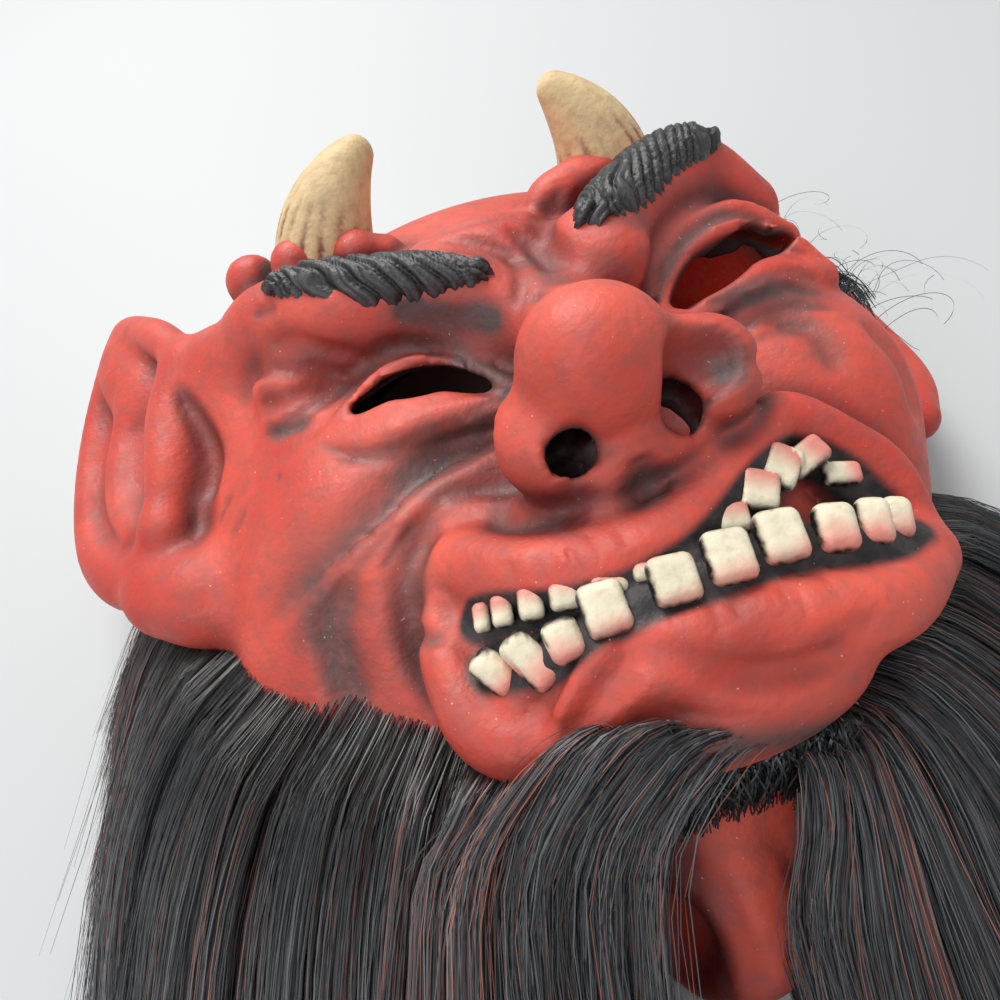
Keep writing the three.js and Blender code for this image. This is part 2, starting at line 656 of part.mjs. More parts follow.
// Hair lies against the shell from a top line down to the floor, and spreads out over the floor.
// A sector fills the spokes from first to last, in degrees; tops, reach and drift follow from there to there
function hairSector(shell, { first, last, tops, reach, driftX, driftY }) {
  const falls = [0, 0.12, 0.3, 0.5, 0.7, 0.86, 1];
  const steps = 8;
  const from = Math.round((first * SPOKES) / 360);
  const to = Math.round((last * SPOKES) / 360);
  const loops = [];
  for (let k = from; k <= to; k++) {
    const share = (k - from) / (to - from);
    const turn = spokeAngle(k);
    const way = [Math.cos(turn), Math.sin(turn), 0];
    const inset = k === from ? PARTING : k === to ? -PARTING : 0;
    const shift = add(scale(way, HAIR_GAP), scale([-Math.sin(turn), Math.cos(turn), 0], inset));
    const inside = climb(shell.loops, k % SPOKES, along(tops, share), steps).map((p) => add(p, shift));
    const crest = inside.at(-1);
    const lock = k % 2 ? 1 + LOCK_RELIEF : 1 - LOCK_RELIEF;
    const spread = along(reach, share) * lock;
    const drift = [along(driftX, share), along(driftY, share), 0];
    const outside = falls.map((s) => {
      const [x, y] = add(crest, add(scale(way, HAIR_SHOULDER + spread * s), scale(drift, s * s)));
      return [x, y, HAIR_THIN + (crest[2] - HAIR_THIN) * (1 - s ** HAIR_FALL) * lock];
    });
    loops.push([...inside, ...outside, [outside.at(-1)[0], outside.at(-1)[1], 0]]);
  }
  return wedge(loops, steps);
}

// Hair behind the crown, beside each jaw and on both sides of the parting under the chin
function hairSolids(shell) {
  const sectors = {
    crown_hair: { first: 55, last: 125, tops: [20, 25, 22], reach: [34, 38], driftX: [4, -4], driftY: [0, 0] },
    left_side_hair: { first: 140, last: 225, tops: [14, 32, 44, 44], reach: [24, 34], driftX: [-12, -12], driftY: [-36, -84] },
    left_beard_hair: { first: 225, last: 265, tops: [44, 48, 50], reach: [34, 54], driftX: [-12, -26], driftY: [-84, -42] },
    right_beard_hair: { first: 282, last: 315, tops: [42, 44], reach: [58, 50], driftX: [-14, 0], driftY: [-34, -56] },
    right_side_hair: { first: 315, last: 360, tops: [44, 36, 18], reach: [50, 34], driftX: [0, 12], driftY: [-56, -66] },
  };
  return Object.entries(sectors).map(([name, sector]) => mesh(name, hairSector(shell, sector), HAIR_COLOUR, 0.55));
}

function mesh(name, manifold, color, roughness) {
  const geometry = toGeometry(manifold).translate(...scale(MIDDLE, -1));
  const made = new THREE.Mesh(geometry, new THREE.MeshStandardMaterial({ color, roughness, metalness: 0 }));
  made.name = name;
  return made;
}

function build() {
  const forms = [
    ...headForms(), ...browAndSocketForms(), ...noseForms(), ...mouthForms(), ...lidForms(), ...collarForms(),
  ];
  const plain = fieldOf(forms);
  const folds = foldsOn(plain);
  const skin = (p) => plain(p) - folds.reduce((sum, f) => sum + f(p), 0);
  const rings = ringAngles();
  const radius = skinRadii(skin, rings);
  const outer = dome(radius, rings, 1, 0);
  const inner = dome(innerRadii(radius, rings), rings, 2, -2);
  const raised = [...horns(), ...brows(), ...teeth(), ...ears()];
  const holes = [
    ballSolid([-34, -4.6, 70], EYE_LEFT_HALF, -14),
    ballSolid([39.5, -1.4, 72], EYE_RIGHT_HALF, 5),
    ballSolid([-14, -43.5, 84], NOSTRIL_LEFT_HALF, 0, 20),
    ballSolid([7, -41, 84], NOSTRIL_RIGHT_HALF, 0, 20),
  ];
  let shell = raised.reduce((body, part) => body.add(part), outer.body).subtract(inner.body);
  shell = holes.reduce((body, hole) => body.subtract(hole), shell);

  const group = new THREE.Group();
  group.add(mesh("mask_shell", shell, VINYL_COLOUR, 0.6), ...hairSolids(outer));
  return group;
}

export default build();
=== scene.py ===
import math

import bmesh
import bpy
import numpy as np
from mathutils import Matrix, Vector


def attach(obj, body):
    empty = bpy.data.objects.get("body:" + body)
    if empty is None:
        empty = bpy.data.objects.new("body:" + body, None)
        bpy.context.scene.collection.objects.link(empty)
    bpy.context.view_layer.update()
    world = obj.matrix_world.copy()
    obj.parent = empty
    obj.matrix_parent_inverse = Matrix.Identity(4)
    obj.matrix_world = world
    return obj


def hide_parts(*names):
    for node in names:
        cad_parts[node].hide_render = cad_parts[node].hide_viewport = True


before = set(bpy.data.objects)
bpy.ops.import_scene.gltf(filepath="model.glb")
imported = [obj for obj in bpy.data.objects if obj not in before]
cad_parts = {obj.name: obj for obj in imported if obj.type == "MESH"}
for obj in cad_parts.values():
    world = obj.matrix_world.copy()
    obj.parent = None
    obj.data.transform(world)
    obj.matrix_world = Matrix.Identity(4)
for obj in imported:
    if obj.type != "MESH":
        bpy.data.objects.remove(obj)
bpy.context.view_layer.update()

# Sizes in millimetres
MIDDLE = np.array([-6.7, -31.7, 0.0])
CENTRE = np.array([-6.0, -36.0, 0.0])  # middle of the open back
CELL = 1.4  # grid of the face
WALL_CELLS = 2  # wall thickness in cells
INNER_SIDE = -1.7  # distance to the skin below which a point is on the inner side
INSIDE_SHARE = 0.2  # share of the triangles that stay on the inner side
LIP_RADIUS = 7.5
FACE_LOW = (-138, -130, -6)  # corners of the grid that the face is worked out on
FACE_HIGH = (114, 104, 116)
HEART_X = -6.0  # rays to the skin start inside the head: at this X and Z, and at Y up to this far from 0
HEART_Y = 50.0
HEART_Z = 15.0
SKIN_BAND = 9.0  # a fold moves the field only this near to the skin

# Colours, linear
RED = np.array([0.50, 0.034, 0.020])
LIGHT_RED = np.array([0.72, 0.105, 0.068])
DARK_RED = np.array([0.16, 0.008, 0.005])
ASH = np.array([0.085, 0.055, 0.052])  # grey-brown airbrush in the creases
CREASE = np.array([0.030, 0.014, 0.014])
SOOT = np.array([0.010, 0.009, 0.010])
IVORY = np.array([0.80, 0.73, 0.54])
GUM_PINK = np.array([0.72, 0.25, 0.20])
HORN_TAN = np.array([0.70, 0.52, 0.28])
HORN_BROWN = np.array([0.20, 0.045, 0.028])
BROW_GREY = np.array([0.048, 0.048, 0.050])
INNER_RED = np.array([0.26, 0.010, 0.005])  # bare vinyl
# painted shade on the inner side, where little light gets in
INNER_SHADE = np.array([0.02, 0.002, 0.002])
BLACK_HAIR = np.array([0.012, 0.013, 0.015])
# lighter fibres, also a painted sheen
GREY_AND_SHEEN_HAIR = np.array([0.085, 0.088, 0.092])
COPPER_HAIR = np.array([0.44, 0.150, 0.105])


# Curves and fields

def smooth_min(a, b, blend):
    """Joins two distances with a fillet about blend wide."""
    h = np.clip(0.5 + 0.5 * (b - a) / blend, 0, 1)
    return b * (1 - h) + a * h - blend * h * (1 - h)


def smooth_path(points, steps=6):
    """Smooth curve through the points; further columns, such as a radius, go along."""
    p = np.asarray(points, float)
    p = [2 * p[0] - p[1], *p, 2 * p[-1] - p[-2]]
    path = []
    for a, b, c, d in zip(p, p[1:], p[2:], p[3:]):
        for t in np.arange(steps) / steps:
            square = 2 * a - 5 * b + 4 * c - d
            cube = 3 * b - a - 3 * c + d
            path.append(0.5 * (2 * b + (c - a) * t + square * t**2 + cube * t**3))
    return np.array(path + [p[-2]])


def turned(degrees):
    """Rotation about X, then Y, then Z."""
    rotation = np.eye(3)
    for axis, angle in enumerate(np.radians(degrees)):
        ahead, beside = (axis + 1) % 3, (axis + 2) % 3
        turn = np.eye(3)
        turn[ahead, ahead] = turn[beside, beside] = math.cos(angle)
        turn[beside, ahead] = math.sin(angle)
        turn[ahead, beside] = -math.sin(angle)
        rotation = turn @ rotation
    return rotation


def unit(v):
    return v / (np.linalg.norm(v, axis=-1, keepdims=True) + 1e-9)


class Field:
    """Distances on a grid, negative inside. Forms are joined and cut with fillets."""

    def __init__(self, low, high, cell):
        self.low = np.array(low, float)
        self.cell = cell
        counts = [math.ceil((b - a) / cell) + 1 for a, b in zip(low, high)]
        self.axes = [a + cell * np.arange(n) for a, n in zip(low, counts)]
        self.f = np.full(counts, 40.0, np.float32)
        self.folds = []

    def window(self, low, high):
        """Slices of the grid round a box, and its coordinates."""
        slices = []
        for axis, a, b in zip(self.axes, low, high):
            start = max(0, int(np.searchsorted(axis, a)) - 1)
            slices.append(slice(start, max(start + 1, int(np.searchsorted(axis, b)) + 1)))
        return tuple(slices), np.ix_(*(axis[s] for axis, s in zip(self.axes, slices)))

    def join(self, where, distance, blend, cut=False):
        f = self.f[where]
        self.f[where] = -smooth_min(-f, distance, blend) if cut else smooth_min(f, distance, blend)

    def ball(self, centre, half, blend=4.0, turn=(0, 0, 0), cut=False):
        """Ellipsoid of the given half sizes."""
        centre, half = np.array(centre, float), np.array(half, float)
        reach = half.max() + blend + 1.5
        where, grid = self.window(centre - reach, centre + reach)
        axes = turned(turn)
        q = [grid[i] - centre[i] for i in range(3)]
        own = [sum(axes[i, j] * q[i] for i in range(3)) for j in range(3)]
        near = np.sqrt(sum((own[j] / half[j]) ** 2 for j in range(3)))
        steep = np.sqrt(sum((own[j] / half[j] ** 2) ** 2 for j in range(3))) + 1e-9
        self.join(where, near * (near - 1) / steep, blend, cut)

    def bar(self, points, blend=3.0, cut=False):
        """Round bar along a smooth path of (x, y, z, radius)."""
        path = smooth_path(points)
        reach = path[:, 3].max() + blend + 1.5
        where, grid = self.window(path[:, :3].min(0) - reach, path[:, :3].max(0) + reach)
        best = np.full(self.f[where].shape, 1e3, np.float32)
        for a, b in zip(path, path[1:]):
            e = b[:3] - a[:3]
            q = [grid[i] - a[i] for i in range(3)]
            t = np.clip(sum(q[i] * e[i] for i in range(3)) / (e @ e + 1e-9), 0, 1)
            far = np.sqrt(sum((q[i] - t * e[i]) ** 2 for i in range(3)))
            best = np.minimum(best, far - (a[3] + t * (b[3] - a[3])))
        self.join(where, best, blend, cut)

    def block(self, centre, size, up, out, corner=2.0, blend=0.6):
        """Rounded block that stands along up, with its face towards out."""
        out = unit(np.array(out, float))
        up = np.array(up, float)
        up = unit(up - out * (up @ out))
        centre, half = np.array(centre, float), np.array(size, float) / 2
        reach = np.linalg.norm(half) + 2
        where, grid = self.window(centre - reach, centre + reach)
        q = [grid[i] - centre[i] for i in range(3)]
        own = [sum(a[i] * q[i] for i in range(3)) for a in (np.cross(up, out), up, out)]
        over = [np.abs(own[j]) - half[j] + corner for j in range(3)]
        outside = np.sqrt(sum(np.maximum(v, 0) ** 2 for v in over))
        inside = np.minimum(np.maximum(np.maximum(over[0], over[1]), over[2]), 0)
        self.join(where, outside + inside - corner, blend)

    def value(self, points):
        """Distances at any points, between the grid's own."""
        q = (np.atleast_2d(points) - self.low) / self.cell
        i = np.clip(np.floor(q).astype(int), 0, np.array(self.f.shape) - 2)
        t = np.clip(q - i, 0, 1)
        total = 0
        for corner in np.ndindex(2, 2, 2):
            share = np.prod([t[:, k] if c else 1 - t[:, k] for k, c in enumerate(corner)], axis=0)
            total = total + share * self.f[i[:, 0] + corner[0], i[:, 1] + corner[1], i[:, 2] + corner[2]]
        return total

    def slope(self, points):
        """Outward normals at points."""
        steps = np.eye(3) * self.cell
        return unit(np.stack([self.value(points + s) - self.value(points - s) for s in steps], axis=1))

    def laid(self, points, reach=14.0):
        """Points laid onto the skin along rays from the head's inside, and those rays."""
        points = np.atleast_2d(points).astype(float)
        heart = np.array([HEART_X, 0.0, HEART_Z]) + np.zeros_like(points)
        heart[:, 1] = np.clip(points[:, 1], -HEART_Y, HEART_Y)
        rays = unit(points - heart)
        steps = np.linspace(reach, -reach, 57)
        values = np.array([self.value(points + rays * t) for t in steps])
        for j in range(len(points)):
            inside = np.flatnonzero(values[:, j] < 0)
            if len(inside) and inside[0] > 0:
                k = inside[0]
                a, b = values[k - 1, j], values[k, j]
                points[j] += rays[j] * (steps[k - 1] + (steps[k] - steps[k - 1]) * a / (a - b))
        return points, rays

    def fold(self, points, width, height, side=0.0, ash=0.0, taper=0.25):
        """Raises or sinks the skin along a path. side widens its left flank, or its right one below 0."""
        path, rays = self.laid(smooth_path(points, 5)[:, :3])
        along = np.r_[0, np.cumsum(np.linalg.norm(np.diff(path, axis=0), axis=1))]
        along /= along[-1]
        reach = width * (2.4 + 2 * abs(side))
        where, grid = self.window(path.min(0) - reach, path.max(0) + reach)
        f = self.f[where]
        near = np.nonzero(np.abs(f) < SKIN_BAND)
        q = np.c_[grid[0].ravel()[near[0]], grid[1].ravel()[near[1]], grid[2].ravel()[near[2]]]
        f[near] -= height * fold_share(q, path, along, rays, width, side, taper)
        self.folds.append((path, along, rays, width, height, side, taper, ash))

    def net(self):
        """Quads of the skin, with one point in each cell that it crosses."""
        counts = np.array(self.f.shape)
        cells, places = [], []
        for axis in range(3):
            ahead, beside = (np.eye(3, dtype=int)[(axis + k) % 3] for k in (1, 2))
            near = self.f[tuple(slice(None, -1) if i == axis else slice(None) for i in range(3))]
            far = self.f[tuple(slice(1, None) if i == axis else slice(None) for i in range(3))]
            at = np.argwhere((near < 0) != (far < 0))
            others = [i for i in range(3) if i != axis]
            at = at[np.all((at[:, others] > 0) & (at[:, others] < counts[others] - 1), axis=1)]
            a, b = near[tuple(at.T)], far[tuple(at.T)]
            place = at.astype(float)
            place[:, axis] += a / (a - b)
            quads = np.stack([at, at - ahead, at - ahead - beside, at - beside], 1)
            quads[a >= 0] = quads[a >= 0][:, ::-1]
            cells.append(quads.reshape(-1, 3))
            places.append(np.repeat(place, 4, axis=0))
        cells, places = np.vstack(cells), np.vstack(places)
        keys = (cells[:, 0] * counts[1] + cells[:, 1]) * counts[2] + cells[:, 2]
        found, index = np.unique(keys, return_inverse=True)
        share = np.bincount(index, minlength=len(found))
        points = np.stack([np.bincount(index, weights=places[:, j]) / share for j in range(3)], 1)
        return points * self.cell + self.low, index.reshape(-1, 4)


def nearest(q, path, along=None, rays=None):
    """Distance from each point of q to a path, the share of the path there, and the flank it lies on."""
    if along is None:
        along = np.linspace(0, 1, len(path))
    best, place, flank = np.full(len(q), 1e9), np.zeros(len(q)), np.zeros(len(q))
    for i, (a, b) in enumerate(zip(path, path[1:])):
        e = b - a
        t = np.clip((q - a) @ e / (e @ e + 1e-9), 0, 1)
        w = q - a - t[:, None] * e
        d = (w * w).sum(1)
        closer = d < best
        best[closer] = d[closer]
        place[closer] = along[i] + t[closer] * (along[i + 1] - along[i])
        if rays is not None:
            flank[closer] = np.sign(w[closer] @ np.cross(rays[i], e))
    return np.sqrt(best), place, flank


def fold_share(q, path, along, rays, width, side, taper):
    """1 in the line of a fold, fading to its flanks and ends."""
    best, place, flank = nearest(q, path, along, rays)
    widths = np.where(flank * side > 0, width * (1 + 3 * abs(side)), width)
    fade = np.clip(np.minimum(place, 1 - place) / taper, 0, 1)
    return fade**2 * (3 - 2 * fade) * np.exp(-((best / widths) ** 2))


# Forms of the face

def head_forms(f):
    """Skull, jaw, neck, cheeks, muzzle and chin."""
    f.ball((-8, 12, 8), (86, 78, 66), 1)
    f.ball((-7, 46, 34), (68, 40, 40), 14)
    f.ball((-56, 6, 34), (38, 56, 30), 14)
    f.ball((46, 4, 38), (32, 54, 30), 14)
    f.ball((-76, 44, 44), (24, 24, 22), 12)
    f.ball((-56, -34, 28), (36, 34, 28), 14)
    f.ball((40, -34, 28), (34, 34, 30), 14)
    f.ball((-8, -56, 26), (56, 40, 34), 14)
    f.ball((-6, -84, 8), (40, 24, 36), 10)
    f.ball((-9, -98, 6), (22, 26, 28), 8)
    f.ball((-6, -56, 54), (38, 28, 25), 12)
    f.ball((-46, -20, 50), (30, 28, 20), 12)
    f.ball((46, -20, 50), (26, 28, 22), 12)
    f.ball((-1, -85, 59), (24, 9.5, 13), 7)
    f.ball((-24, -112, 18), (8, 11, 14), 6, cut=True)


def brow_and_socket_forms(f):
    f.bar([(-70, 40, 64, 9), (-58, 34, 72, 11), (-34, 19, 77, 11.5), (-12, 9, 76, 11)], 8)
    f.bar([(14, 13, 78, 12), (34, 25, 78, 11.5), (48, 33, 76, 11), (60, 28, 66, 10)], 8)
    f.ball((-8, 28, 69), (26, 16, 16.5), 8)
    f.ball((16, 5, 77), (10, 9, 12), 5)
    f.ball((-9, 6, 74), (7, 9, 11), 4)
    f.ball((-38, 5, 86), (24, 7, 11), 6, turn=(0, 0, -14), cut=True)
    f.ball((44, 10, 93), (20, 6, 8), 6, turn=(0, 0, 10), cut=True)
    f.ball((-34, -5, 62), (18, 11, 13), 6)
    f.ball((42, -3, 64), (19, 12, 14), 6)
    f.bar([(22, 3, 74, 4), (34, 11, 76, 5), (48, 13, 76, 5.5), (60, 9, 70, 5)], 5)
    f.ball((-60, 18, 66), (10, 7, 8), 6)
    f.ball((-60, 9, 62), (9, 6, 7), 5)


def nose_forms(f):
    f.bar([(1, 6, 74, 8), (-1, -10, 80, 10), (-3, -24, 87, 13)], 8)
    f.ball((-4, -32, 91), (14.5, 14, 15.5), 4)
    f.ball((-17, -37, 81), (8.5, 12, 9.5), 4, turn=(0, 0, 15))
    f.ball((15, -36, 85), (10.5, 11, 10.5), 7, turn=(0, 0, -10))
    f.bar([(-12, -47, 78, 4), (-3, -47, 82, 5), (8, -45, 79, 4)], 4)


def mouth_forms(f):
    """The hollow between the lips, the two lips and the two gums."""
    r = LIP_RADIUS
    f.bar([(-42, -60, 70, 3), (-36, -64, 74, 7), (-24, -67, 79, 7), (-12, -69, 81, 6.5), (0, -69, 82, 7),
           (12, -67, 82, 9), (22, -64, 80, 10), (32, -64, 75, 9), (40, -66, 68, 6)], 3, cut=True)
    f.bar([(-44, -44, 62, 5), (-37, -45, 66, 6), (-28, -55, 71, 6.5), (-16, -61, 74, 6.5), (-2, -60, 75, 6),
           (12, -53, 74, 6), (22, -46, 73, 6), (29, -43, 72, 6), (37, -48, 68, 6), (44, -56, 62, 6),
           (46, -66, 56, 5)], 4)
    f.bar([(42, -72, 58, 7), (30, -79, 64, r), (21, -81, 68, r), (9, -80, 71, r), (-1, -78.5, 71, r),
           (-12, -78, 71, r), (-20, -78, 69, 7), (-27, -80, 66, 6.5), (-34, -81, 62, 6), (-41, -78, 61, 6),
           (-45, -72, 61, 5.5), (-46, -62, 61, 5), (-46, -52, 61, 4)], 4)
    f.ball((-36, -73, 62), (7, 5, 6), 2)
    f.bar([(-42, -66, 62, 3), (-35, -71, 65, 4.5), (-27, -72, 69, 5), (-18, -71, 72, 5), (-7, -70, 74, 5),
           (2, -70, 75, 5), (11, -70, 74, 5), (20, -71, 72, 5), (29, -72, 68, 5), (38, -70, 61, 4)], 1.5)
    f.bar([(-41, -57, 62, 3), (-34, -58.5, 64, 3.5), (-24, -62, 68, 4), (-8, -64, 71, 4), (0, -63, 71, 4),
           (8, -60, 71, 4), (15, -56.5, 71, 4), (22, -53, 70, 4), (28, -51.5, 68, 4), (34, -56, 64, 4),
           (38, -63, 60, 4)], 1.5)


def lid_forms(f):
    f.bar([(-62, -5, 63, 2), (-55, -4, 67, 2.4), (-48, 0, 70, 2.6), (-38, 3, 73, 3), (-27, 1, 74, 3),
           (-20, -6, 73, 2.5), (-14, -13, 72, 2)], 2)
    f.bar([(-55, -8, 66, 2.5), (-40, -13, 70, 4.5), (-29, -14, 71, 4.5), (-19, -15, 71, 3)], 2.5)
    f.bar([(20, -8, 75, 2), (28, 3, 77, 2.5), (38, 8, 78, 3), (47, 7, 78, 3), (56, 2, 75, 3),
           (62, -5, 70, 2.5)], 2)
    f.bar([(20, -10, 74, 2.5), (30, -10, 74, 3), (42, -9, 75, 3), (52, -7, 73, 3), (62, -7, 69, 3)], 2)


def collar_forms(f):
    """Fleshy lumps round the feet of the horns."""
    lumps = [(-63, 53, 73, 7), (-51, 46, 79, 6), (-44, 45, 77, 5), (-36, 42, 79, 6), (-29, 42, 77, 4.5),
             (15, 44, 75, 6), (44, 50, 74, 6)]
    for x, y, z, r in lumps:
        f.ball((x, y, z), (r, r, r), 3)
    f.bar([(13, 42, 75, 5), (20, 45, 77, 6), (28, 46, 77, 6.5), (36, 47, 76, 6), (43, 50, 74, 5)], 4)


def ear_forms(f):
    """Large pointed left ear, and the right one, which hangs lower."""
    f.ball((-106, 34, 38), (20, 44, 7), 6, turn=(0, -22, 6))
    f.ball((-106, 70, 46), (13, 22, 6), 5, turn=(0, -12, 10))
    f.bar([(-88, 52, 58, 5), (-98, 72, 54, 5.5), (-112, 92, 44, 3.5), (-121, 72, 37, 5), (-127, 46, 32, 5.5),
           (-125, 20, 33, 6), (-117, 4, 36, 7), (-106, -4, 40, 7)], 4)
    f.bar([(-90, 48, 55, 5), (-95, 34, 54, 6), (-97, 20, 52, 6), (-100, 10, 49, 5), (-105, 2, 44, 4)], 8)
    f.bar([(-104, 62, 47, 3), (-113, 46, 42, 3.5), (-115, 26, 41, 3.5), (-111, 12, 42, 3)], 6)
    f.ball((-101, 5, 48), (6, 7, 6), 3)
    f.ball((-106, -8, 40), (9, 9, 8), 5)
    f.ball((-95, -14, 42), (12, 12, 10), 8)
    f.ball((84, 20, 26), (22, 44, 6), 6, turn=(0, 24, -4))
    f.ball((84, 52, 30), (11, 18, 5), 5, turn=(0, 16, -10))
    f.bar([(70, 30, 38, 5), (80, 56, 36, 5), (92, 68, 26, 3.5), (100, 44, 20, 5), (104, 20, 17, 5),
           (100, -6, 19, 6), (90, -22, 23, 6)], 4)
    f.bar([(70, 34, 42, 5), (76, 16, 40, 5), (78, 0, 36, 5), (84, -10, 30, 4)], 4)


# Parts of the two eye holes: centre, half sizes and turn
EYE_HOLES = [
    ((-41.5, -1.4, 73), (7.8, 2.0, 16), (40, 0, 14)),
    ((-33.5, -1.6, 73), (10, 3.4, 16), (40, 0, -10)),
    ((-25.8, -4.8, 73), (8.4, 2.3, 16), (40, 0, -36)),
    ((31.5, -1.5, 75), (8, 2.6, 16), (42, -30, 24)),
    ((41, 1.4, 75), (13, 4.2, 16), (42, -30, 6)),
    ((50, 2.2, 75), (8.5, 3.0, 16), (42, -30, -16)),
]
NOSTRILS = [(-14, -43.5, 84), (7, -41, 84)]
NOSTRIL_HALVES = [(4.6, 3.8, 15), (4.2, 5.5, 15)]


def cut_openings(f):
    """Eye holes and nostrils, right through the wall."""
    for centre, half, turn in EYE_HOLES:
        f.ball(centre, half, 1, turn=turn, cut=True)
    for centre, half in zip(NOSTRILS, NOSTRIL_HALVES):
        f.ball(centre, half, 1.5, turn=(20, 0, 0), cut=True)


def fold_eyes(f):
    """Creases round the eyes, at the temples and between the brows."""
    f.fold([(-67, 5, 64), (-59, 6, 67), (-53, 8, 68), (-48, 11, 69), (-41, 10, 73), (-33, 8, 75),
            (-26, 2, 77), (-22, -3, 76), (-17, -9, 75)], 1.8, -2.8, ash=0.96)
    f.fold([(-58, -5, 69), (-51, -14, 71), (-44, -17, 72), (-36, -17, 73), (-28, -17, 74), (-19, -16, 74)],
           1.5, -2.2, ash=0.96)
    f.fold([(-46, -22, 71), (-34, -20, 72), (-26, -20, 72), (-20, -22, 74)], 1.6, -1.8, ash=0.6)
    f.fold([(-30, -14, 74), (-23, -15, 75), (-16, -15, 76)], 1.1, -1.1, ash=0.48)
    f.fold([(-64, 29, 80), (-57, 26, 83)], 1.6, -1.5, ash=0.6)
    f.fold([(-62, 23, 75), (-56, 20, 77), (-52, 17, 76), (-47, 14, 74), (-42, 11, 74)], 2.0, -2.1, ash=0.12)
    f.fold([(-69, 26, 66), (-60, 20, 67), (-52, 14, 69), (-46, 11, 70)], 2.0, -2.8, ash=0.36)
    f.fold([(-66, 15, 64), (-60, 10, 66), (-55, 10, 67), (-51, 12, 69)], 1.8, -2.1, ash=0.3)
    f.fold([(-68, 8, 62), (-61, 4, 66), (-56, 5, 67)], 1.8, -1.2, ash=0.96)
    f.fold([(-90, 40, 61), (-88, 31, 59), (-86, 24, 56), (-86, 14, 53), (-92, 6, 50)], 2.6, -3.2, ash=0.36)
    f.fold([(19, 40, 79), (14, 38, 78), (7, 26, 84), (4, 16, 85), (4, 10, 85), (6, 2, 85)],
           2.4, -3.2, ash=0.72)
    f.fold([(-19, 29, 86), (-11, 24, 87), (-5, 17, 85), (-5, 9, 86), (-7, 2, 86), (-10, -4, 83)],
           1.6, -2.4, ash=0.6)
    f.fold([(-18, 24, 87), (-11, 20, 87), (-8, 12, 86), (-10, 3, 86)], 1.2, -1.5, ash=0.24)
    f.fold([(-3, 26, 88), (0, 22, 86), (2, 14, 84), (1, 4, 84)], 1.6, -2, ash=0.48)
    f.fold([(-22, 36, 84), (-10, 32, 86), (2, 30, 86), (8, 26, 86)], 2.0, -2, ash=0.36)
    f.fold([(-14, 40, 80), (0, 38, 80), (10, 36, 80)], 2.0, -1.9, ash=0.24)
    f.fold([(-6, 0, 85), (-5, -8, 84), (-8, -14, 80)], 1.3, -1.2, ash=0.48)
    f.fold([(10, -2, 86), (14, -6, 84), (20, -8, 80)], 1.6, -1.8, ash=0.6)
    f.fold([(18, -8, 79), (22, 0, 80), (28, 9, 81), (37, 15, 81), (49, 18, 80), (60, 13, 76), (66, 4, 70)],
           1.7, -2.5, ash=0.72)
    f.fold([(20, -8, 79), (25, -1, 80), (32, 5, 82), (40, 9, 82), (50, 9, 81), (59, 4, 77)], 1.3, -1.9, ash=1)
    f.fold([(26, -11, 77), (33, -11, 77), (40, -10, 78), (47, -9, 77), (53, -9, 75), (59, -11, 71)],
           1.2, -1.9, ash=0.6)
    f.fold([(27, -14, 76), (36, -13, 76), (45, -12, 76), (52, -12, 74), (58, -15, 70)], 1.2, -1.6, ash=1)
    f.fold([(30, -18, 75), (38, -16, 73), (45, -16, 73), (52, -17, 72), (57, -20, 68)], 1.3, -1.6, ash=1)
    f.fold([(36, -21, 73), (44, -20, 72), (51, -22, 70)], 1.3, -1.2, ash=0.6)


def fold_cheeks(f):
    """Laugh lines, the creases by the wings of the nose and small scratches."""
    f.fold([(-19, -17, 75), (-28, -20, 70), (-35, -22, 70), (-44, -26, 70), (-52, -30, 69), (-59, -32, 67),
            (-65, -33, 64), (-70, -34, 61), (-76, -34, 57), (-82, -33, 52)], 2.6, -4.2, side=-0.5, ash=1)
    f.fold([(-46, -32, 69), (-53, -35, 68), (-60, -39, 64), (-64, -44, 58)], 1.6, -1.5, ash=0.48)
    f.fold([(-60, -35, 66), (-63, -39, 63), (-66, -42, 59), (-67, -46, 55), (-68, -53, 50), (-66, -60, 44)],
           2.8, -3, side=0.3, ash=1)
    f.fold([(-36, -30, 70), (-41, -34, 68), (-45, -39, 67), (-49, -45, 65), (-51, -51, 60), (-52, -58, 56),
            (-51, -66, 55), (-48, -74, 56)], 2.8, -4.2, ash=1)
    f.fold([(-44, -33, 68), (-48, -36, 67), (-53, -40, 65)], 1.2, -1.2, ash=0.6)
    f.fold([(-51, -52, 61), (-47, -57, 65), (-44, -58, 66)], 1.5, -2, ash=0.96)
    f.fold([(-22, -26, 80), (-26, -33, 80), (-29, -31, 72), (-33, -30, 69), (-37, -30, 69), (-40, -33, 68)],
           2.0, -2.5, ash=0.84)
    f.fold([(-26, -36, 74), (-28, -41, 71), (-25, -46, 74), (-18, -50, 78), (-10, -51, 80)],
           2.2, -2.2, ash=0.96)
    f.fold([(-4, -50, 80), (-3.6, -52, 80), (-3, -54, 80)], 3.2, -3.2, taper=0.05)
    f.fold([(13, -46, 82), (20, -41, 81), (27, -37, 77), (34, -38, 74), (40, -44, 71), (45, -52, 66)],
           2.0, -2.8, ash=0.18)
    f.fold([(40, -16, 73), (47, -21, 73), (48, -29, 71), (47, -36, 69)], 3.2, -2, ash=0.9)
    f.fold([(56, -22, 66), (62, -32, 60), (62, -44, 54)], 3.0, -2.5, ash=0.72)
    f.fold([(-90, -2, 52), (-84, 0, 54), (-80, 0, 56)], 0.9, -0.8, ash=0.48)
    f.fold([(-86, -8, 53), (-80, -8, 56), (-76, -6, 58)], 0.9, -0.8, ash=0.48)
    f.fold([(-66, -8, 62), (-65, -6, 63)], 0.9, -0.9, ash=0.48)


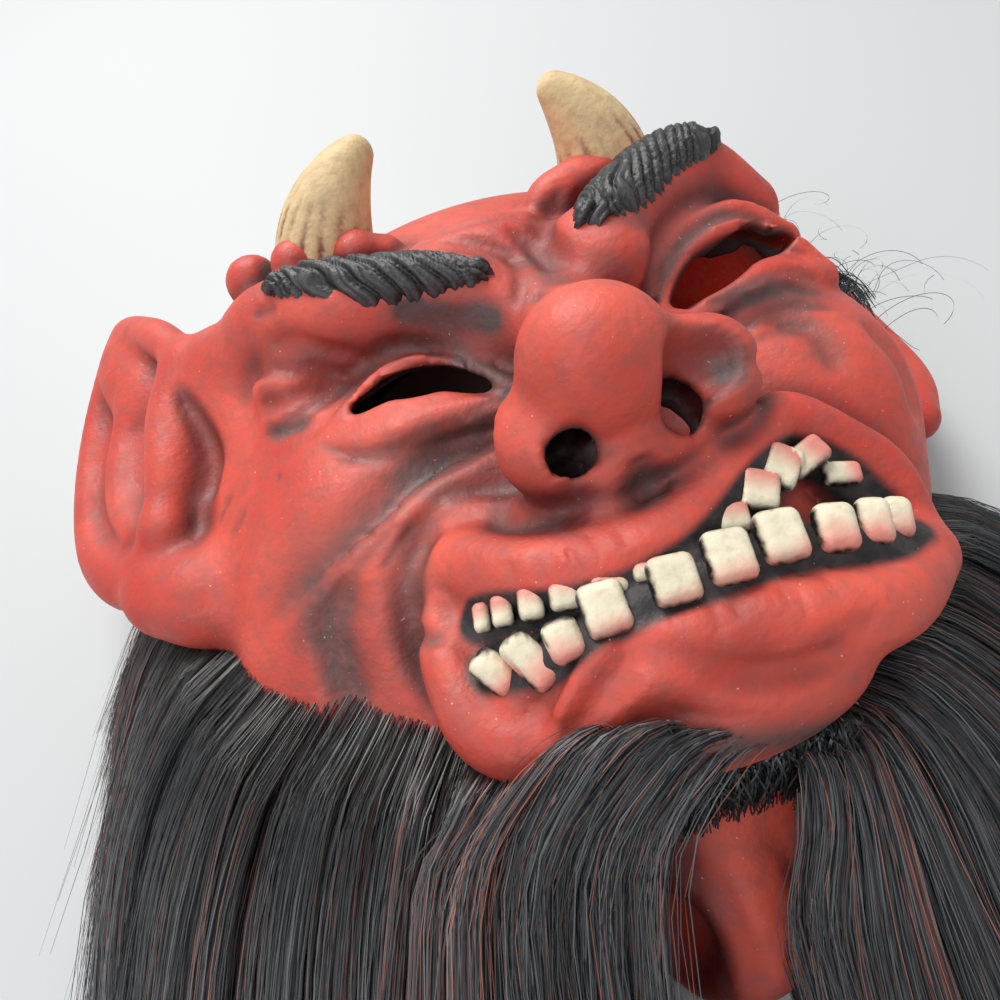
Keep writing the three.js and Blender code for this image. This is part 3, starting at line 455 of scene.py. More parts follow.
# Upper ends of the wrinkles and how far each one runs
LIP_WRINKLES = [
    (-30, -54, 76, -1, -5), (-26, -56, 79, -0.5, -6), (-24, -56, 79, 0, -7), (-21, -57, 80, 1, -7),
    (-16.5, -56, 80, 0.5, -7), (-12, -57, 81, 0.5, -6), (-3.5, -75, 78, -1.5, -6), (0, -75, 78, -1, -5),
    (7.5, -76, 78, -1.2, -5), (9.7, -77, 78, -1.4, -6), (15, -76, 76, -1, -5),
]


def fold_lips(f):
    """Creases under the lower lip, wrinkles on the neck and fine ones across both lips."""
    f.fold([(-15, -101, 36), (-13, -109, 28), (-12, -116, 20), (-13, -121, 12)], 2.6, -2.2)
    f.fold([(-2, -100, 38), (2, -110, 27), (2, -118, 18)], 3.0, -0.9)
    f.fold([(8, -100, 34), (6, -108, 26), (7, -116, 16)], 2.2, 0.8)
    f.fold([(-36, -86, 66), (-31, -84, 70), (-26, -82, 73), (-21, -80, 76), (-17, -79, 77), (-10, -83, 77),
            (-5, -86, 75), (2, -88, 73), (7, -88, 72), (12, -88, 72), (17, -86, 74), (22, -82, 73)],
           2.6, -3.4)
    f.fold([(-18, -74, 78), (-22, -76, 77), (-26, -77, 75), (-29, -79, 72), (-33, -82, 69)], 2.4, 1.6)
    f.fold([(-23, -73, 76), (-27, -74, 74), (-30, -76, 72), (-33, -78, 68), (-36, -82, 67)],
           1.6, -2.0, ash=0.3)
    f.fold([(-17, -86, 73), (-13, -89, 72), (-8, -91, 71), (-2, -92, 70)], 1.5, -0.9)
    for x, y, z, dx, dy in LIP_WRINKLES:
        f.fold([(x, y, z), (x + 0.4 * dx, y + 0.5 * dy, z + 0.5), (x + dx, y + dy, z)], 0.9, -0.8, ash=0.12)


# Meshes and paint

def to_frame(points):
    return (points - MIDDLE) / 1000


def add_piece(name, points, faces, material, node, paint, normals=None):
    """Mesh object that rides on the root body and stands for a node; paint is a colour for each point."""
    mesh = bpy.data.meshes.new(name)
    mesh.from_pydata(to_frame(points).tolist(), [], faces if isinstance(faces, list) else faces.tolist())
    mesh.polygons.foreach_set("use_smooth", [True] * len(mesh.polygons))
    layer = mesh.color_attributes.new("paint", "FLOAT_COLOR", "POINT")
    layer.data.foreach_set("color", np.c_[paint, np.ones(len(paint))].ravel())
    if normals is not None:
        mesh.normals_split_custom_set_from_vertices(normals.tolist())
    mesh.materials.append(material)
    piece = bpy.data.objects.new(name, mesh)
    bpy.context.collection.objects.link(piece)
    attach(piece, "root")
    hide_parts(node)
    return piece


def blend_paint(paint, colour, share):
    """Lays a colour over the paint, as strongly as share says for each point."""
    share = np.clip(share, 0, 1)[:, None]
    return paint * (1 - share) + colour * share


def spray(points, path, width, strength=1.0):
    """Airbrush along a path: a soft share for each point."""
    path = smooth_path(path, 4) if len(path) > 1 else np.array([path[0], path[0]], float)
    far, _, _ = nearest(points, path)
    return strength * np.exp(-((far / width) ** 2))


HASH_STEPS = np.array([374761393, 668265263, 2147483647])
HASH_SEED = 144269
HASH_MIX = 1274126177
HASH_BITS = 0xFFFFFFFF


def value_noise(points, size, seed):
    """Smooth noise from 0 to 1 with lumps of about the given size."""
    q = points / size
    i = np.floor(q).astype(np.int64)
    t = q - i
    t = t * t * (3 - 2 * t)
    total = 0
    for corner in np.ndindex(2, 2, 2):
        j = i + corner
        mixed = (j @ HASH_STEPS + seed * HASH_SEED) & HASH_BITS
        mixed = ((mixed ^ (mixed >> 13)) * HASH_MIX) & HASH_BITS
        share = np.prod([t[:, k] if c else 1 - t[:, k] for k, c in enumerate(corner)], axis=0)
        total = total + share * ((mixed ^ (mixed >> 16)) & 0xFFFF) / 0xFFFF
    return total


def hollowness(field, points, normals, reach):
    """0 on open skin, towards 1 deep in a crease."""
    return np.clip(1 - field.value(points + normals * reach) / reach, 0, 1)


def paint_face(field, points):
    """Red vinyl with grey-brown airbrush along the creases, painted shade in the hollows and along listed
    paths, and painted highlights along others.
    """
    normals = field.slope(points)
    cloud = value_noise(points, 22, 1)
    mottle = value_noise(points, 5, 2)
    grain = value_noise(points, 1.6, 4)
    paint = blend_paint(np.tile(RED, (len(points), 1)), LIGHT_RED, 1.0 * cloud + 0.3 * mottle - 0.1)
    paint = blend_paint(paint, DARK_RED, 0.8 * value_noise(points, 16, 5) - 0.45)
    small, shaded_hollow = (hollowness(field, points, normals, reach) for reach in (3.0, 9.0))
    # painted shade: darker red deep in the larger hollows
    paint = blend_paint(paint, DARK_RED, 1.6 * shaded_hollow - 0.3)
    paint = blend_paint(paint, ASH, 1.5 * small - 0.35)
    for path, along, rays, width, height, side, taper, ash in field.folds:
        if ash == 0:
            continue
        reach = 1.2 * width * (2.4 + 2 * abs(side))
        near = np.flatnonzero(np.all((points > path.min(0) - reach) & (points < path.max(0) + reach), axis=1))
        soft = fold_share(points[near], path, along, rays, 1.15 * width, side, taper)
        line = fold_share(points[near], path, along, rays, 0.42 * width, 0, taper)
        broken = 0.6 + 0.3 * mottle[near] + 0.5 * grain[near]
        paint[near] = blend_paint(paint[near], ASH, ash * soft * broken)
        paint[near] = blend_paint(paint[near], CREASE, 0.95 * ash * line)
    patchy = 0.5 + 0.5 * mottle + 0.4 * grain
    # grey-brown airbrush, then painted highlights and painted shade
    coats_and_light = ((ASH, ASH_SPRAYS, patchy), (LIGHT_RED, PAINTED_HIGHLIGHTS, 1), (DARK_RED, PAINTED_SHADE_SPRAYS, 1))
    for colour, sprays, breaks in coats_and_light:
        for path, width, strength in sprays:
            paint = blend_paint(paint, colour, spray(points, path, width, strength) * breaks)
    gums = np.maximum(spray(points, GUM_LINE_LOWER, 6.4, 1.6), spray(points, GUM_LINE_UPPER, 5.2, 1.6))
    return blend_paint(paint, SOOT, 3 * gums - 1.8)


def sharpen_folds(field, points):
    """Draws the line of each crease a little deeper than the grid can hold."""
    normals = field.slope(points)
    for path, along, rays, width, height, side, taper, ash in field.folds:
        near = np.flatnonzero(np.all((points > path.min(0) - width) & (points < path.max(0) + width), axis=1))
        line = fold_share(points[near], path, along, rays, 0.4 * width, 0, taper)
        points[near] += normals[near] * (0.4 * height * line)[:, None]
    return points


# Airbrush away from the creases, then painted shade and painted highlights: path, width and strength
ASH_SPRAYS = [
    ([(-66, -36, 60), (-70, -41, 56)], 4.5, 0.7),
    ([(-3.6, -51.6, 80)], 4.4, 1.2),
    ([(-31, 10, 83), (-27, 9, 82), (-22, 6, 81), (-18, 4, 81), (-14, 1, 81)], 3.4, 1.5),
    ([(-23, -2, 76), (-19, -8, 75), (-16, -13, 74)], 3.2, 1.1),
    ([(-40, -21, 69), (-32, -19, 70), (-24, -18, 71)], 3.6, 0.8),
    ([(-48, 6, 69), (-40, 11, 71), (-30, 9, 75), (-23, 2, 76)], 2.6, 0.7),
    ([(26, 1, 79), (34, 8, 80), (44, 11, 80)], 2.8, 0.6),
    ([(34, -11, 76), (44, -12, 75), (54, -14, 72)], 3.6, 0.8),
    ([(24, 9, 88), (19, 9, 89), (16, 13, 89)], 3.5, 0.6),
    ([(1, 13, 84), (2, 7, 85), (0, 0, 87)], 4.0, 0.9),
    ([(17, -40, 88), (17, -42, 86)], 3.6, 1.3),
    ([(-104, 20, 40), (-104, 10, 40)], 6.0, 0.9),
    ([(-14, -90, 66), (0, -94, 62), (14, -93, 54)], 4.5, 0.9),
    ([(58, -14, 66), (62, -26, 60)], 5.0, 0.4),
    ([(-46, -68, 63), (-45, -74, 63)], 2.6, 0.8),
    ([(-37, -29, 69), (-33, -26, 71), (-28, -22, 72)], 4.0, 0.7),
    ([(-48, -45, 65), (-51, -54, 60), (-50, -64, 56)], 3.5, 0.7),
    ([(-64, -42, 60), (-67, -50, 53), (-67, -60, 45)], 4.0, 0.6),
    ([(18, 8, 84), (24, 14, 84), (36, 19, 83)], 3.5, 0.5),
]
# Painted shade: under the brows, beside the nose, beside the neck and in a shadow band under the chin
PAINTED_SHADE_SPRAYS = [
    ([(-62, 20, 71), (-48, 14, 75), (-34, 8, 78), (-22, 3, 80)], 5.0, 0.7),
    ([(20, 6, 82), (34, 17, 84), (48, 22, 82)], 4.0, 0.6),
    ([(10, 2, 86), (15, -3, 85)], 5.0, 0.6),
    ([(-19, -34, 80), (-20, -41, 80), (-16, -47, 80)], 5.5, 0.8),
    ([(-20, -98, 38), (-21, -106, 28), (-20, -115, 15), (-19, -122, 5)], 4.6, 2.6),
    ([(-16, -92, 46), (-8, -93, 45), (4, -94, 44), (14, -94, 42)], 3.2, 1.8),
]
# Painted highlights: on the neck, the top of the nose, under the left eye, on the cheeks and by the brows
PAINTED_HIGHLIGHTS = [
    ([(-4, -101, 37), (-3, -110, 29), (-4, -118, 19)], 8.5, 1.3),
    ([(-8, -26, 100), (2, -32, 104)], 12.0, 1.0),
    ([(-48, -9, 69), (-38, -11, 71), (-28, -12, 73)], 3.0, 0.8),
    ([(-52, -24, 72), (-64, -27, 67), (-74, -26, 60)], 5.0, 0.6),
    ([(8, 12, 84), (9, 4, 86), (11, 16, 87)], 4.5, 0.5),
    ([(58, -28, 62), (70, -34, 50)], 12.0, 0.7),
    ([(-52, 22, 78), (-44, 17, 79)], 7.0, 0.6),
]
GUM_LINE_LOWER = [(-38, -67, 66), (-34, -69, 69), (-27, -71, 72), (-18, -70, 75), (-7, -70, 77), (2, -70, 78),
                  (11, -70, 77), (20, -71, 75), (29, -72, 71), (38, -70, 64)]
GUM_LINE_UPPER = [(-38, -58, 67), (-33, -60, 70), (-24, -64, 73), (-8, -67, 76), (0, -66, 77), (8, -62, 77),
                  (15, -58, 77), (22, -54, 75), (28, -53, 73), (34, -57, 69), (38, -63, 64)]


def shape_skin():
    """The face without its ears and holes."""
    field = Field(FACE_LOW, FACE_HIGH, CELL)
    for forms in (head_forms, brow_and_socket_forms, nose_forms, mouth_forms, lid_forms, collar_forms):
        forms(field)
    field.ball((12, -41, 94), (8, 6, 7), 3, cut=True)
    for folds in (fold_eyes, fold_cheeks, fold_lips):
        folds(field)
    return field


def shrunk(f, cells):
    """The field of a body with a layer of cells taken off all round."""
    for axis in range(3):
        line = np.moveaxis(f, axis, 0)
        wide = line.copy()
        for k in range(1, cells + 1):
            wide[k:] = np.maximum(wide[k:], line[:-k])
            wide[:-k] = np.maximum(wide[:-k], line[k:])
        f = np.moveaxis(wide, 0, axis)
    return f


FRONT_LOW = np.array([-74.0, -104.0, 50.0])  # the part of the face that gets a finer mesh
FRONT_HIGH = np.array([64.0, 44.0, 112.0])
RIM_REACH = 20.0  # the inner side stays fine this near to the holes
FACE_CUTS = (-30.0, 16.0)  # the outer side is kept as three meshes, parted at these X


def build_face():
    """Closed vinyl shell, open at the back. Returns the skin without its ears."""
    skin = shape_skin()
    bare = skin.f.copy()
    hollow = shrunk(skin.f, WALL_CELLS)
    ear_forms(skin)
    shell = Field(FACE_LOW, FACE_HIGH, CELL)
    shell.f = np.maximum(skin.f, -hollow)
    cut_openings(shell)
    shell.f = np.maximum(shell.f, np.broadcast_to(-shell.axes[2], shell.f.shape)).astype(np.float32)
    points, faces = refined(*shell.net(), skin)
    inner = skin.value(points) < INNER_SIDE
    points[~inner] = sharpen_folds(skin, points[~inner])
    paint = paint_face(skin, points)
    # painted shade: the inner side runs from near black on the left to bare red vinyl on the right
    paint[inner] = blend_paint(np.tile(INNER_SHADE, (inner.sum(), 1)), INNER_RED, points[inner, 0] / 25 - 0.2)
    normals = vertex_normals(points, faces)
    material = vinyl_material()
    first = np.array([face[0] for face in faces])
    last = np.array([face[2] for face in faces])
    rims = [np.linalg.norm(points - centre, axis=1) for centre in [hole[0] for hole in EYE_HOLES] + NOSTRILS]
    inside = inner[first] & inner[last] & (np.min(rims, axis=0)[first] > RIM_REACH)
    third = np.searchsorted(FACE_CUTS, points[first, 0])
    for name, chosen in (("face_left", third == 0), ("face_middle", third == 1), ("face_right", third == 2)):
        used, quads = cut_out(faces, chosen & ~inside)
        add_piece(name, points[used], quads, material, "mask_shell", paint[used], normals[used])
    used, quads = cut_out(faces, inside)
    piece = add_piece("face_inside", points[used], quads, material, "mask_shell", paint[used])
    thinner = piece.modifiers.new("thinner", "DECIMATE")
    thinner.ratio = INSIDE_SHARE
    skin.f = bare
    return skin


def vertex_normals(points, faces):
    mesh = bpy.data.meshes.new("whole")
    mesh.from_pydata(points.tolist(), [], faces)
    normals = np.zeros(3 * len(points), np.float32)
    mesh.vertex_normals.foreach_get("vector", normals)
    bpy.data.meshes.remove(mesh)
    return normals.reshape(-1, 3)


def cut_out(faces, chosen):
    """The chosen faces with their own numbering, and the points that they use."""
    kept = [faces[i] for i in np.flatnonzero(chosen)]
    used = np.unique(np.concatenate(kept))
    index = np.zeros(used[-1] + 1, int)
    index[used] = np.arange(len(used))
    index = index.tolist()
    return used, [[index[i] for i in face] for face in kept]


def refined(points, faces, skin):
    """Mesh whose outer faces at the front are each cut in four."""
    mesh = bmesh.new()
    for p in points:
        mesh.verts.new(p)
    mesh.verts.ensure_lookup_table()
    for face in faces.tolist():
        mesh.faces.new([mesh.verts[i] for i in face])
    outer = skin.value(points) > INNER_SIDE
    front = outer & np.all((points > FRONT_LOW) & (points < FRONT_HIGH), axis=1)
    chosen = np.flatnonzero(front[faces].all(1))
    mesh.faces.ensure_lookup_table()
    edges = dict.fromkeys(edge for i in chosen for edge in mesh.faces[i].edges)
    bmesh.ops.subdivide_edges(mesh, edges=list(edges), cuts=1, use_grid_fill=True)
    fine = [v for v in mesh.verts if all(a < c < b for a, c, b in zip(FRONT_LOW, v.co, FRONT_HIGH))]
    for _ in range(2):
        bmesh.ops.smooth_vert(mesh, verts=fine, factor=0.5, use_axis_x=True, use_axis_y=True, use_axis_z=True)
    mesh.verts.index_update()
    points = np.array([v.co for v in mesh.verts], float)
    faces = [[v.index for v in face.verts] for face in mesh.faces]
    mesh.free()
    return points, faces


# Teeth, horns and brows

TOOTH_UP = (0.2, 0.97, 0.2)
TOOTH_OUT = (0.05, -0.25, 0.97)
# Middle, size, and the way each tooth stands
LOWER_TEETH = [
    ((-38.5, -68.8, 68), (5.8, 9, 4), (-0.55, 0.85, 0.2)),
    ((-32.5, -70.5, 71), (6.0, 11, 4), (-0.45, 0.9, 0.2)),
    ((-26.5, -70.8, 74.5), (6.4, 7.5, 4), (-0.1, 1, 0.2)),
    ((-19.0, -69.6, 77.5), (7.8, 9.2, 4.5), (0.05, 1, 0.2)),
    ((-7.2, -69.8, 79), (8.2, 8.4, 4.5), (0.12, 1, 0.2)),
    ((2.2, -69.8, 80), (8.0, 9.2, 4.5), (0.15, 1, 0.2)),
    ((11.6, -69.4, 79.5), (8.0, 9.2, 4.5), (0.15, 1, 0.2)),
    ((21.2, -70.4, 77.5), (7.0, 8.6, 4.5), (0.3, 1, 0.2)),
    ((29.5, -70, 74), (6.0, 8.6, 4), (0.35, 1, 0.2)),
    ((36.5, -68.5, 69), (5.4, 8, 4), (0.4, 1, 0.2)),
]
UPPER_TEETH = [
    ((-37.6, -58.8, 69), (3.2, 5.6, 3), TOOTH_UP),
    ((-34.0, -60.3, 71.4), (4, 5.8, 3), TOOTH_UP),
    ((-29.2, -62.3, 74), (4.6, 5.8, 3), TOOTH_UP),
    ((-23.8, -64.3, 76), (5.4, 4.8, 3), TOOTH_UP),
    ((-16.5, -65.8, 77.3), (6.5, 3.6, 3), TOOTH_UP),
    ((-10.5, -66.3, 78.2), (4.4, 3.4, 3), TOOTH_UP),
    ((7.5, -62, 77), (6, 5.5, 3.5), TOOTH_UP),
    ((14.5, -58.5, 77), (7, 7.5, 3.5), (0.5, 0.85, 0.2)),
    ((21, -55, 76), (6.5, 8.4, 3.5), (0.7, 0.7, 0.2)),
    ((27, -53.5, 74), (5.6, 9, 3.5), (0.95, 0.3, 0.1)),
    ((33, -57, 70), (4.6, 7, 3.5), (0.9, -0.3, 0)),
]
RAGGED_TEETH = 3  # the first lower teeth have ragged dark biting edges
TOOTH_CELL = 0.55


def paint_teeth(points, teeth, root_side, ragged):
    """Ivory, pinker towards the root, with black painted round each tooth."""
    centres = np.array([t[0] for t in teeth], float)
    sizes = np.array([t[1] for t in teeth], float)
    outs = unit(np.tile(np.array(TOOTH_OUT), (len(teeth), 1)))
    ups = np.array([t[2] for t in teeth], float)
    ups = unit(ups - outs * (ups * outs).sum(1)[:, None])
    sides = np.cross(ups, outs)
    q = points[:, None] - centres
    level = 2 * (q * ups).sum(2) / sizes[:, 1]
    across = 2 * np.abs((q * sides).sum(2)) / sizes[:, 0]
    own = np.argmin(np.maximum(np.abs(level), across), axis=1)
    pick = np.arange(len(points)), own
    level, across = level[pick] * root_side, across[pick]
    depth = (q[pick] * outs[own]).sum(1)
    fine, patch = value_noise(points, 0.9, 6), value_noise(points, 3.5, 5)
    paint = np.tile(IVORY, (len(points), 1)) * (0.88 + 0.22 * patch)[:, None]
    pink = np.where((own < ragged) | (own > len(teeth) - 4), -0.25, 0.25) if root_side < 0 else -0.3
    paint = blend_paint(paint, GUM_PINK, 1.1 * (level - pink) + 0.7 * (patch - 0.5))
    black = 9 * (np.maximum(across, 0.97 * np.abs(level)) - 0.80 - 0.10 * fine)
    behind = q[pick][:, 1] / sizes[own, 1]
    edge = np.where(own < ragged, 8 * (behind - 0.12 - 0.2 * fine), -1)
    return blend_paint(paint, SOOT, np.maximum(np.maximum(black, edge), 2 * (-0.2 - depth)))


def build_teeth():
    for name, teeth, corner, root_side, ragged in (("lower_teeth", LOWER_TEETH, 2.0, -1, RAGGED_TEETH),
                                                   ("upper_teeth", UPPER_TEETH, 1.4, 1, 0)):
        field = Field((-48, -82, 56), (46, -46, 90), TOOTH_CELL)
        for centre, size, up in teeth:
            field.block(centre, size, up, TOOTH_OUT, corner)
        points, faces = field.net()
        paint = paint_teeth(points, teeth, root_side, ragged)
        add_piece(name, points, faces, tooth_material(), "mask_shell", paint)


HORN_CELL = 0.9
LEFT_HORN = [(-45, 49, 66, 13.5), (-43, 52, 76, 12.5), (-39, 55, 84, 10.3), (-33, 58, 90.5, 7),
             (-28.5, 60, 93.5, 4.6)]
RIGHT_HORN = [(34, 50, 66, 13), (33.5, 53, 76, 12), (31, 56, 84, 9.6), (27, 59, 90.5, 6.6), (24, 61, 94, 4.4)]


def build_horns():
    for name, path in (("left_horn", LEFT_HORN), ("right_horn", RIGHT_HORN)):
        line = smooth_path(path)
        field = Field(line[:, :3].min(0) - 16, line[:, :3].max(0) + 16, HORN_CELL)
        field.bar(path, 1)
        points, faces = field.net()
        far, along, _ = nearest(points, line[:, :3])
        across = points - line[np.clip((along * (len(line) - 1)).round().astype(int), 0, len(line) - 1), :3]
        turn = np.arctan2(across[:, 1], across[:, 0])
        wobble = 0.5 * np.sin(9 * along + 3 * turn)
        groove = np.sin(17 * turn + wobble) * 0.5 + 0.5
        depth = np.clip(1 - 1.5 * along, 0, 1)
        points = points - unit(across) * (0.55 * depth * groove**3)[:, None]
        paint = np.tile(HORN_TAN, (len(points), 1)) * (0.9 + 0.2 * value_noise(points, 4, 7))[:, None]
        blotch = value_noise(points * (1, 1, 0.25), 2.6, 8)
        streak = np.clip(2.1 - 3.4 * along, 0, 1) * groove**5 * np.clip(3 * blotch - 0.7, 0, 1)
        paint = blend_paint(paint, HORN_BROWN, 1.5 * streak)
        paint = blend_paint(paint, HORN_BROWN, 1.3 * np.clip(0.9 - 3 * along, 0, 1) * (0.4 + blotch))
        add_piece(name, points, faces, horn_material(), "mask_shell", paint)


# Middle line of each brow; its half width; tufts along it; how far a tuft leans along the brow; seed
BROWS = {
    "left_brow": ([(-55.5, 31, 84), (-52, 29.5, 85.5), (-44, 24.5, 87), (-36, 19.5, 87), (-28, 16.5, 86),
                   (-21, 13.5, 85), (-14, 10, 84)], 6.5, 10, 0.17, 3),
    "right_brow": ([(14, 13, 86), (20, 17, 88), (28, 22, 88), (36, 27, 88), (45, 31, 88), (52, 33, 86)],
                   8.6, 13, -0.15, 4),
}
BROW_HEIGHT = 3.2
BROW_CELL = 0.55
GROOVE_DEPTH = 1.5


def build_brows(skin):
    """Moulded brows: each one mass, parted into pointed tufts by slanting grooves of uneven spacing."""
    for name, (ridge, half, tufts, lean, seed) in BROWS.items():
        line, rays = skin.laid(smooth_path(ridge, 8), 12)
        along = np.linspace(0, 1, len(line))
        ahead = unit(np.gradient(line, axis=0))
        across = unit(np.cross(rays, ahead))
        field = Field(line.min(0) - 14, line.max(0) + 14, BROW_CELL)
        radii = half * np.clip(np.sin(np.pi * np.clip(along, 0.05, 0.95)), 0, 1) ** 0.28
        field.bar(np.c_[line - rays * (radii - BROW_HEIGHT)[:, None], radii][::3], 1)
        points, faces = field.net()
        _, u, _ = nearest(points, line)
        index = np.clip((u * (len(line) - 1)).round().astype(int), 0, len(line) - 1)
        v = ((points - line[index]) * across[index]).sum(1) / half
        slant = u + lean * v
        uneven = value_noise(np.c_[6 * slant, 0 * u, 0 * u], 1.0, seed) - 0.5
        bend = value_noise(np.c_[4 * u, 1.5 * v, 0 * u], 1.0, seed + 5) - 0.5
        phase = tufts * slant + 1.6 * uneven + 0.8 * bend
        fine = np.abs(np.cos(np.pi * (2.7 * phase + 1.2 * bend))) ** 5
        deep = np.abs(np.cos(np.pi * phase)) ** 9
        groove = deep * (0.8 + 1.0 * bend) + 0.4 * fine * (1 - deep)
        edge = np.clip(1.6 - 1.1 * np.abs(v), 0, 1)
        points = points - field.slope(points) * (GROOVE_DEPTH * groove * edge)[:, None]
        notch = np.clip(np.abs(v) - 0.45, 0, 1) * (np.abs(np.sin(np.pi * phase)) - 0.5)
        points += across[index] * (np.sign(v) * 0.6 * notch)[:, None]
        end = np.clip((np.abs(u - 0.5) - 0.4) / 0.1, 0, 1) * np.cos(2 * np.pi * (1.6 * v + 2 * bend))
        points += ahead[index] * (np.sign(u - 0.5) * 0.7 * end)[:, None]
        paint = np.tile(BROW_GREY, (len(points), 1)) * (0.55 + 1.1 * value_noise(points, 1.6, seed))[:, None]
        paint = blend_paint(paint, SOOT, 1.6 * deep + 0.7 * fine - 0.1)
        add_piece(name, points, faces, brow_material(), "mask_shell", paint)


# Hair

def ribbon_mesh(paths, widths, rolls):
    """Flat tapering fibres: paths is (strands, places, 3), widths (strands, places) and rolls (strands)."""
    count, steps, _ = paths.shape
    tangent = unit(np.gradient(paths, axis=1))
    side = unit(np.cross(tangent, (0, 0, 1)))
    over = np.cross(side, tangent)
    reach = side * np.cos(rolls)[:, None, None] + over * np.sin(rolls)[:, None, None]
    reach = reach * widths[..., None] / 2
    points = np.stack([paths - reach, paths + reach], axis=2).reshape(-1, 3)
    a = np.arange(count * steps * 2).reshape(count, steps, 2)
    faces = np.stack([a[:, :-1, 0], a[:, :-1, 1], a[:, 1:, 1], a[:, 1:, 0]], axis=-1).reshape(-1, 4)
    return points, faces


def skin_at(skin, angles, height):
    """Places on the skin at a height, seen from the middle of the open back."""
    ways = np.c_[np.cos(angles), np.sin(angles), np.zeros_like(angles)]
    lift = np.c_[np.zeros((len(angles), 2)), height]
    far = np.full(len(angles), 150.0)
    for _ in range(150):
        outside = skin.value(CENTRE + ways * far[:, None] + lift) > 0
        far[outside] -= 1.0
    return CENTRE + ways * far[:, None] + lift, ways


# Guide strands that two lots share, where they meet
LEFT_SEAM = [(-57, -68, 48), (-64, -82, 51), (-72, -104, 46), (-81, -133, 33), (-89, -161, 19), (-96, -189, 6)]
RIGHT_SEAM = [(36, -78, 44), (43, -86, 48), (50, -100, 44), (56, -122, 33), (61, -150, 18), (66, -178, 6)]
# Guide strands of each lot from one end to the other: six places from root to tip, along the crest
GUIDES = {
    "crown_hair": [
        [(64, 50, 20), (70, 58, 22), (78, 66, 20), (86, 74, 15), (92, 81, 10), (97, 88, 5)],
        [(24, 82, 24), (28, 91, 27), (32, 101, 24), (36, 110, 18), (39, 118, 11), (42, 126, 5)],
        [(-28, 84, 24), (-31, 93, 27), (-35, 103, 24), (-39, 112, 18), (-42, 120, 11), (-45, 128, 5)],
        [(-66, 58, 20), (-74, 66, 22), (-83, 74, 20), (-91, 82, 15), (-98, 89, 10), (-104, 95, 5)],
    ],
    "left_side_hair": [
        [(-84, 26, 14), (-96, 28, 15), (-108, 24, 14), (-120, 14, 12), (-130, 0, 9), (-138, -16, 5)],
        [(-90, -12, 34), (-102, -19, 36), (-115, -34, 33), (-126, -54, 25), (-134, -78, 14), (-140, -104, 5)],
        [(-86, -38, 44), (-98, -49, 46), (-111, -68, 41), (-122, -92, 30), (-131, -120, 17), (-138, -148, 6)],
        [(-73, -54, 48), (-84, -68, 50), (-95, -90, 44), (-105, -118, 31), (-114, -146, 18), (-121, -174, 6)],
        LEFT_SEAM,
    ],
    "left_beard_hair": [
        LEFT_SEAM,
        [(-45, -74, 50), (-49, -81, 54), (-55, -89, 53), (-64, -101, 46), (-82, -152, 26), (-92, -191, 6)],
        [(-37, -80, 56), (-40, -85, 62), (-48, -91, 62), (-59, -103, 55), (-76, -152, 31), (-85, -195, 6)],
        [(-29, -84, 62), (-32, -85, 70), (-42, -90, 69), (-55, -103, 58), (-71, -152, 34), (-79, -198, 7)],
        [(-21, -87, 62), (-25, -86, 73), (-36, -90, 72), (-51, -104, 60), (-64, -152, 34), (-71, -200, 7)],
        [(-14, -89, 60), (-18, -88, 75), (-29, -91, 73), (-46, -104, 60), (-57, -152, 34), (-63, -200, 7)],
        [(-8, -91, 58), (-12, -90, 72), (-23, -92, 70), (-39, -105, 58), (-51, -150, 32), (-56, -196, 7)],
        [(-3, -95, 56), (-7, -93, 66), (-17, -94, 65), (-32, -106, 54), (-45, -148, 30), (-50, -190, 7)],
        [(2, -98, 52), (-2, -96, 60), (-11, -95, 60), (-25, -104, 50), (-37, -140, 28), (-44, -172, 7)],
    ],
    "right_beard_hair": [
        [(3, -95, 50), (5, -98, 53), (3, -106, 47), (-5, -118, 37), (-7, -146, 20), (-13, -178, 7)],
        [(12, -93, 46), (15, -98, 50), (13, -108, 46), (7, -127, 36), (2, -158, 19), (-1, -188, 6)],
        [(22, -88, 44), (26, -95, 48), (27, -107, 46), (26, -128, 36), (26, -158, 19), (27, -190, 6)],
        RIGHT_SEAM,
    ],
    "right_side_hair": [
        RIGHT_SEAM,
        [(54, -56, 42), (63, -64, 45), (74, -80, 40), (85, -102, 30), (94, -128, 16), (101, -154, 5)],
        [(70, -38, 22), (80, -46, 23), (92, -60, 20), (102, -80, 15), (110, -104, 10), (116, -128, 5)],
    ],
}
# Strands, locks and seed of each lot
STRANDS = {"crown_hair": (2600, 16, 11), "left_side_hair": (8800, 26, 12), "left_beard_hair": (9000, 24, 13),
           "right_beard_hair": (4600, 12, 14), "right_side_hair": (4000, 14, 15)}
STRAND_WIDTH = 0.17
# Places along the smooth curve of a strand that its mesh keeps, close together where it bends, and how
# far each may shift
KEPT = np.array([0, 6, 8, 10, 12, 14, 16, 18, 22, 30])
SHIFT = np.array([0, 1, 1, 1, 1, 1, 1, 1, 2, 0])
HAIR_EDGE = -155.0  # no strand reaches farther to the left
STRAY_SHARE = 0.06  # strands that lie looser than the rest, and how much looser
STRAY_REACH = 2.4
LOOSE = 2.2  # how far a strand drifts from its lock, in millimetres
SLIP = np.array([1, 0.5, 0.2, 0.05, 0, 0])  # how far each place follows a root that lies on lower skin
GATHER = np.array([0, 0.1, 0.25, 0.36, 0.3, 0.2])  # how far a lock draws together


def guided(guides, place):
    """Six places of each strand between the guides; place is (strands, 6) from 0 to 1."""
    dense = smooth_path(guides, 8)
    at = np.clip(place, 0, 1) * (len(dense) - 1)
    start = np.minimum(at.astype(int), len(dense) - 2)
    share = (at - start)[..., None]
    column = np.arange(6)
    return dense[start, column] * (1 - share) + dense[start + 1, column] * share


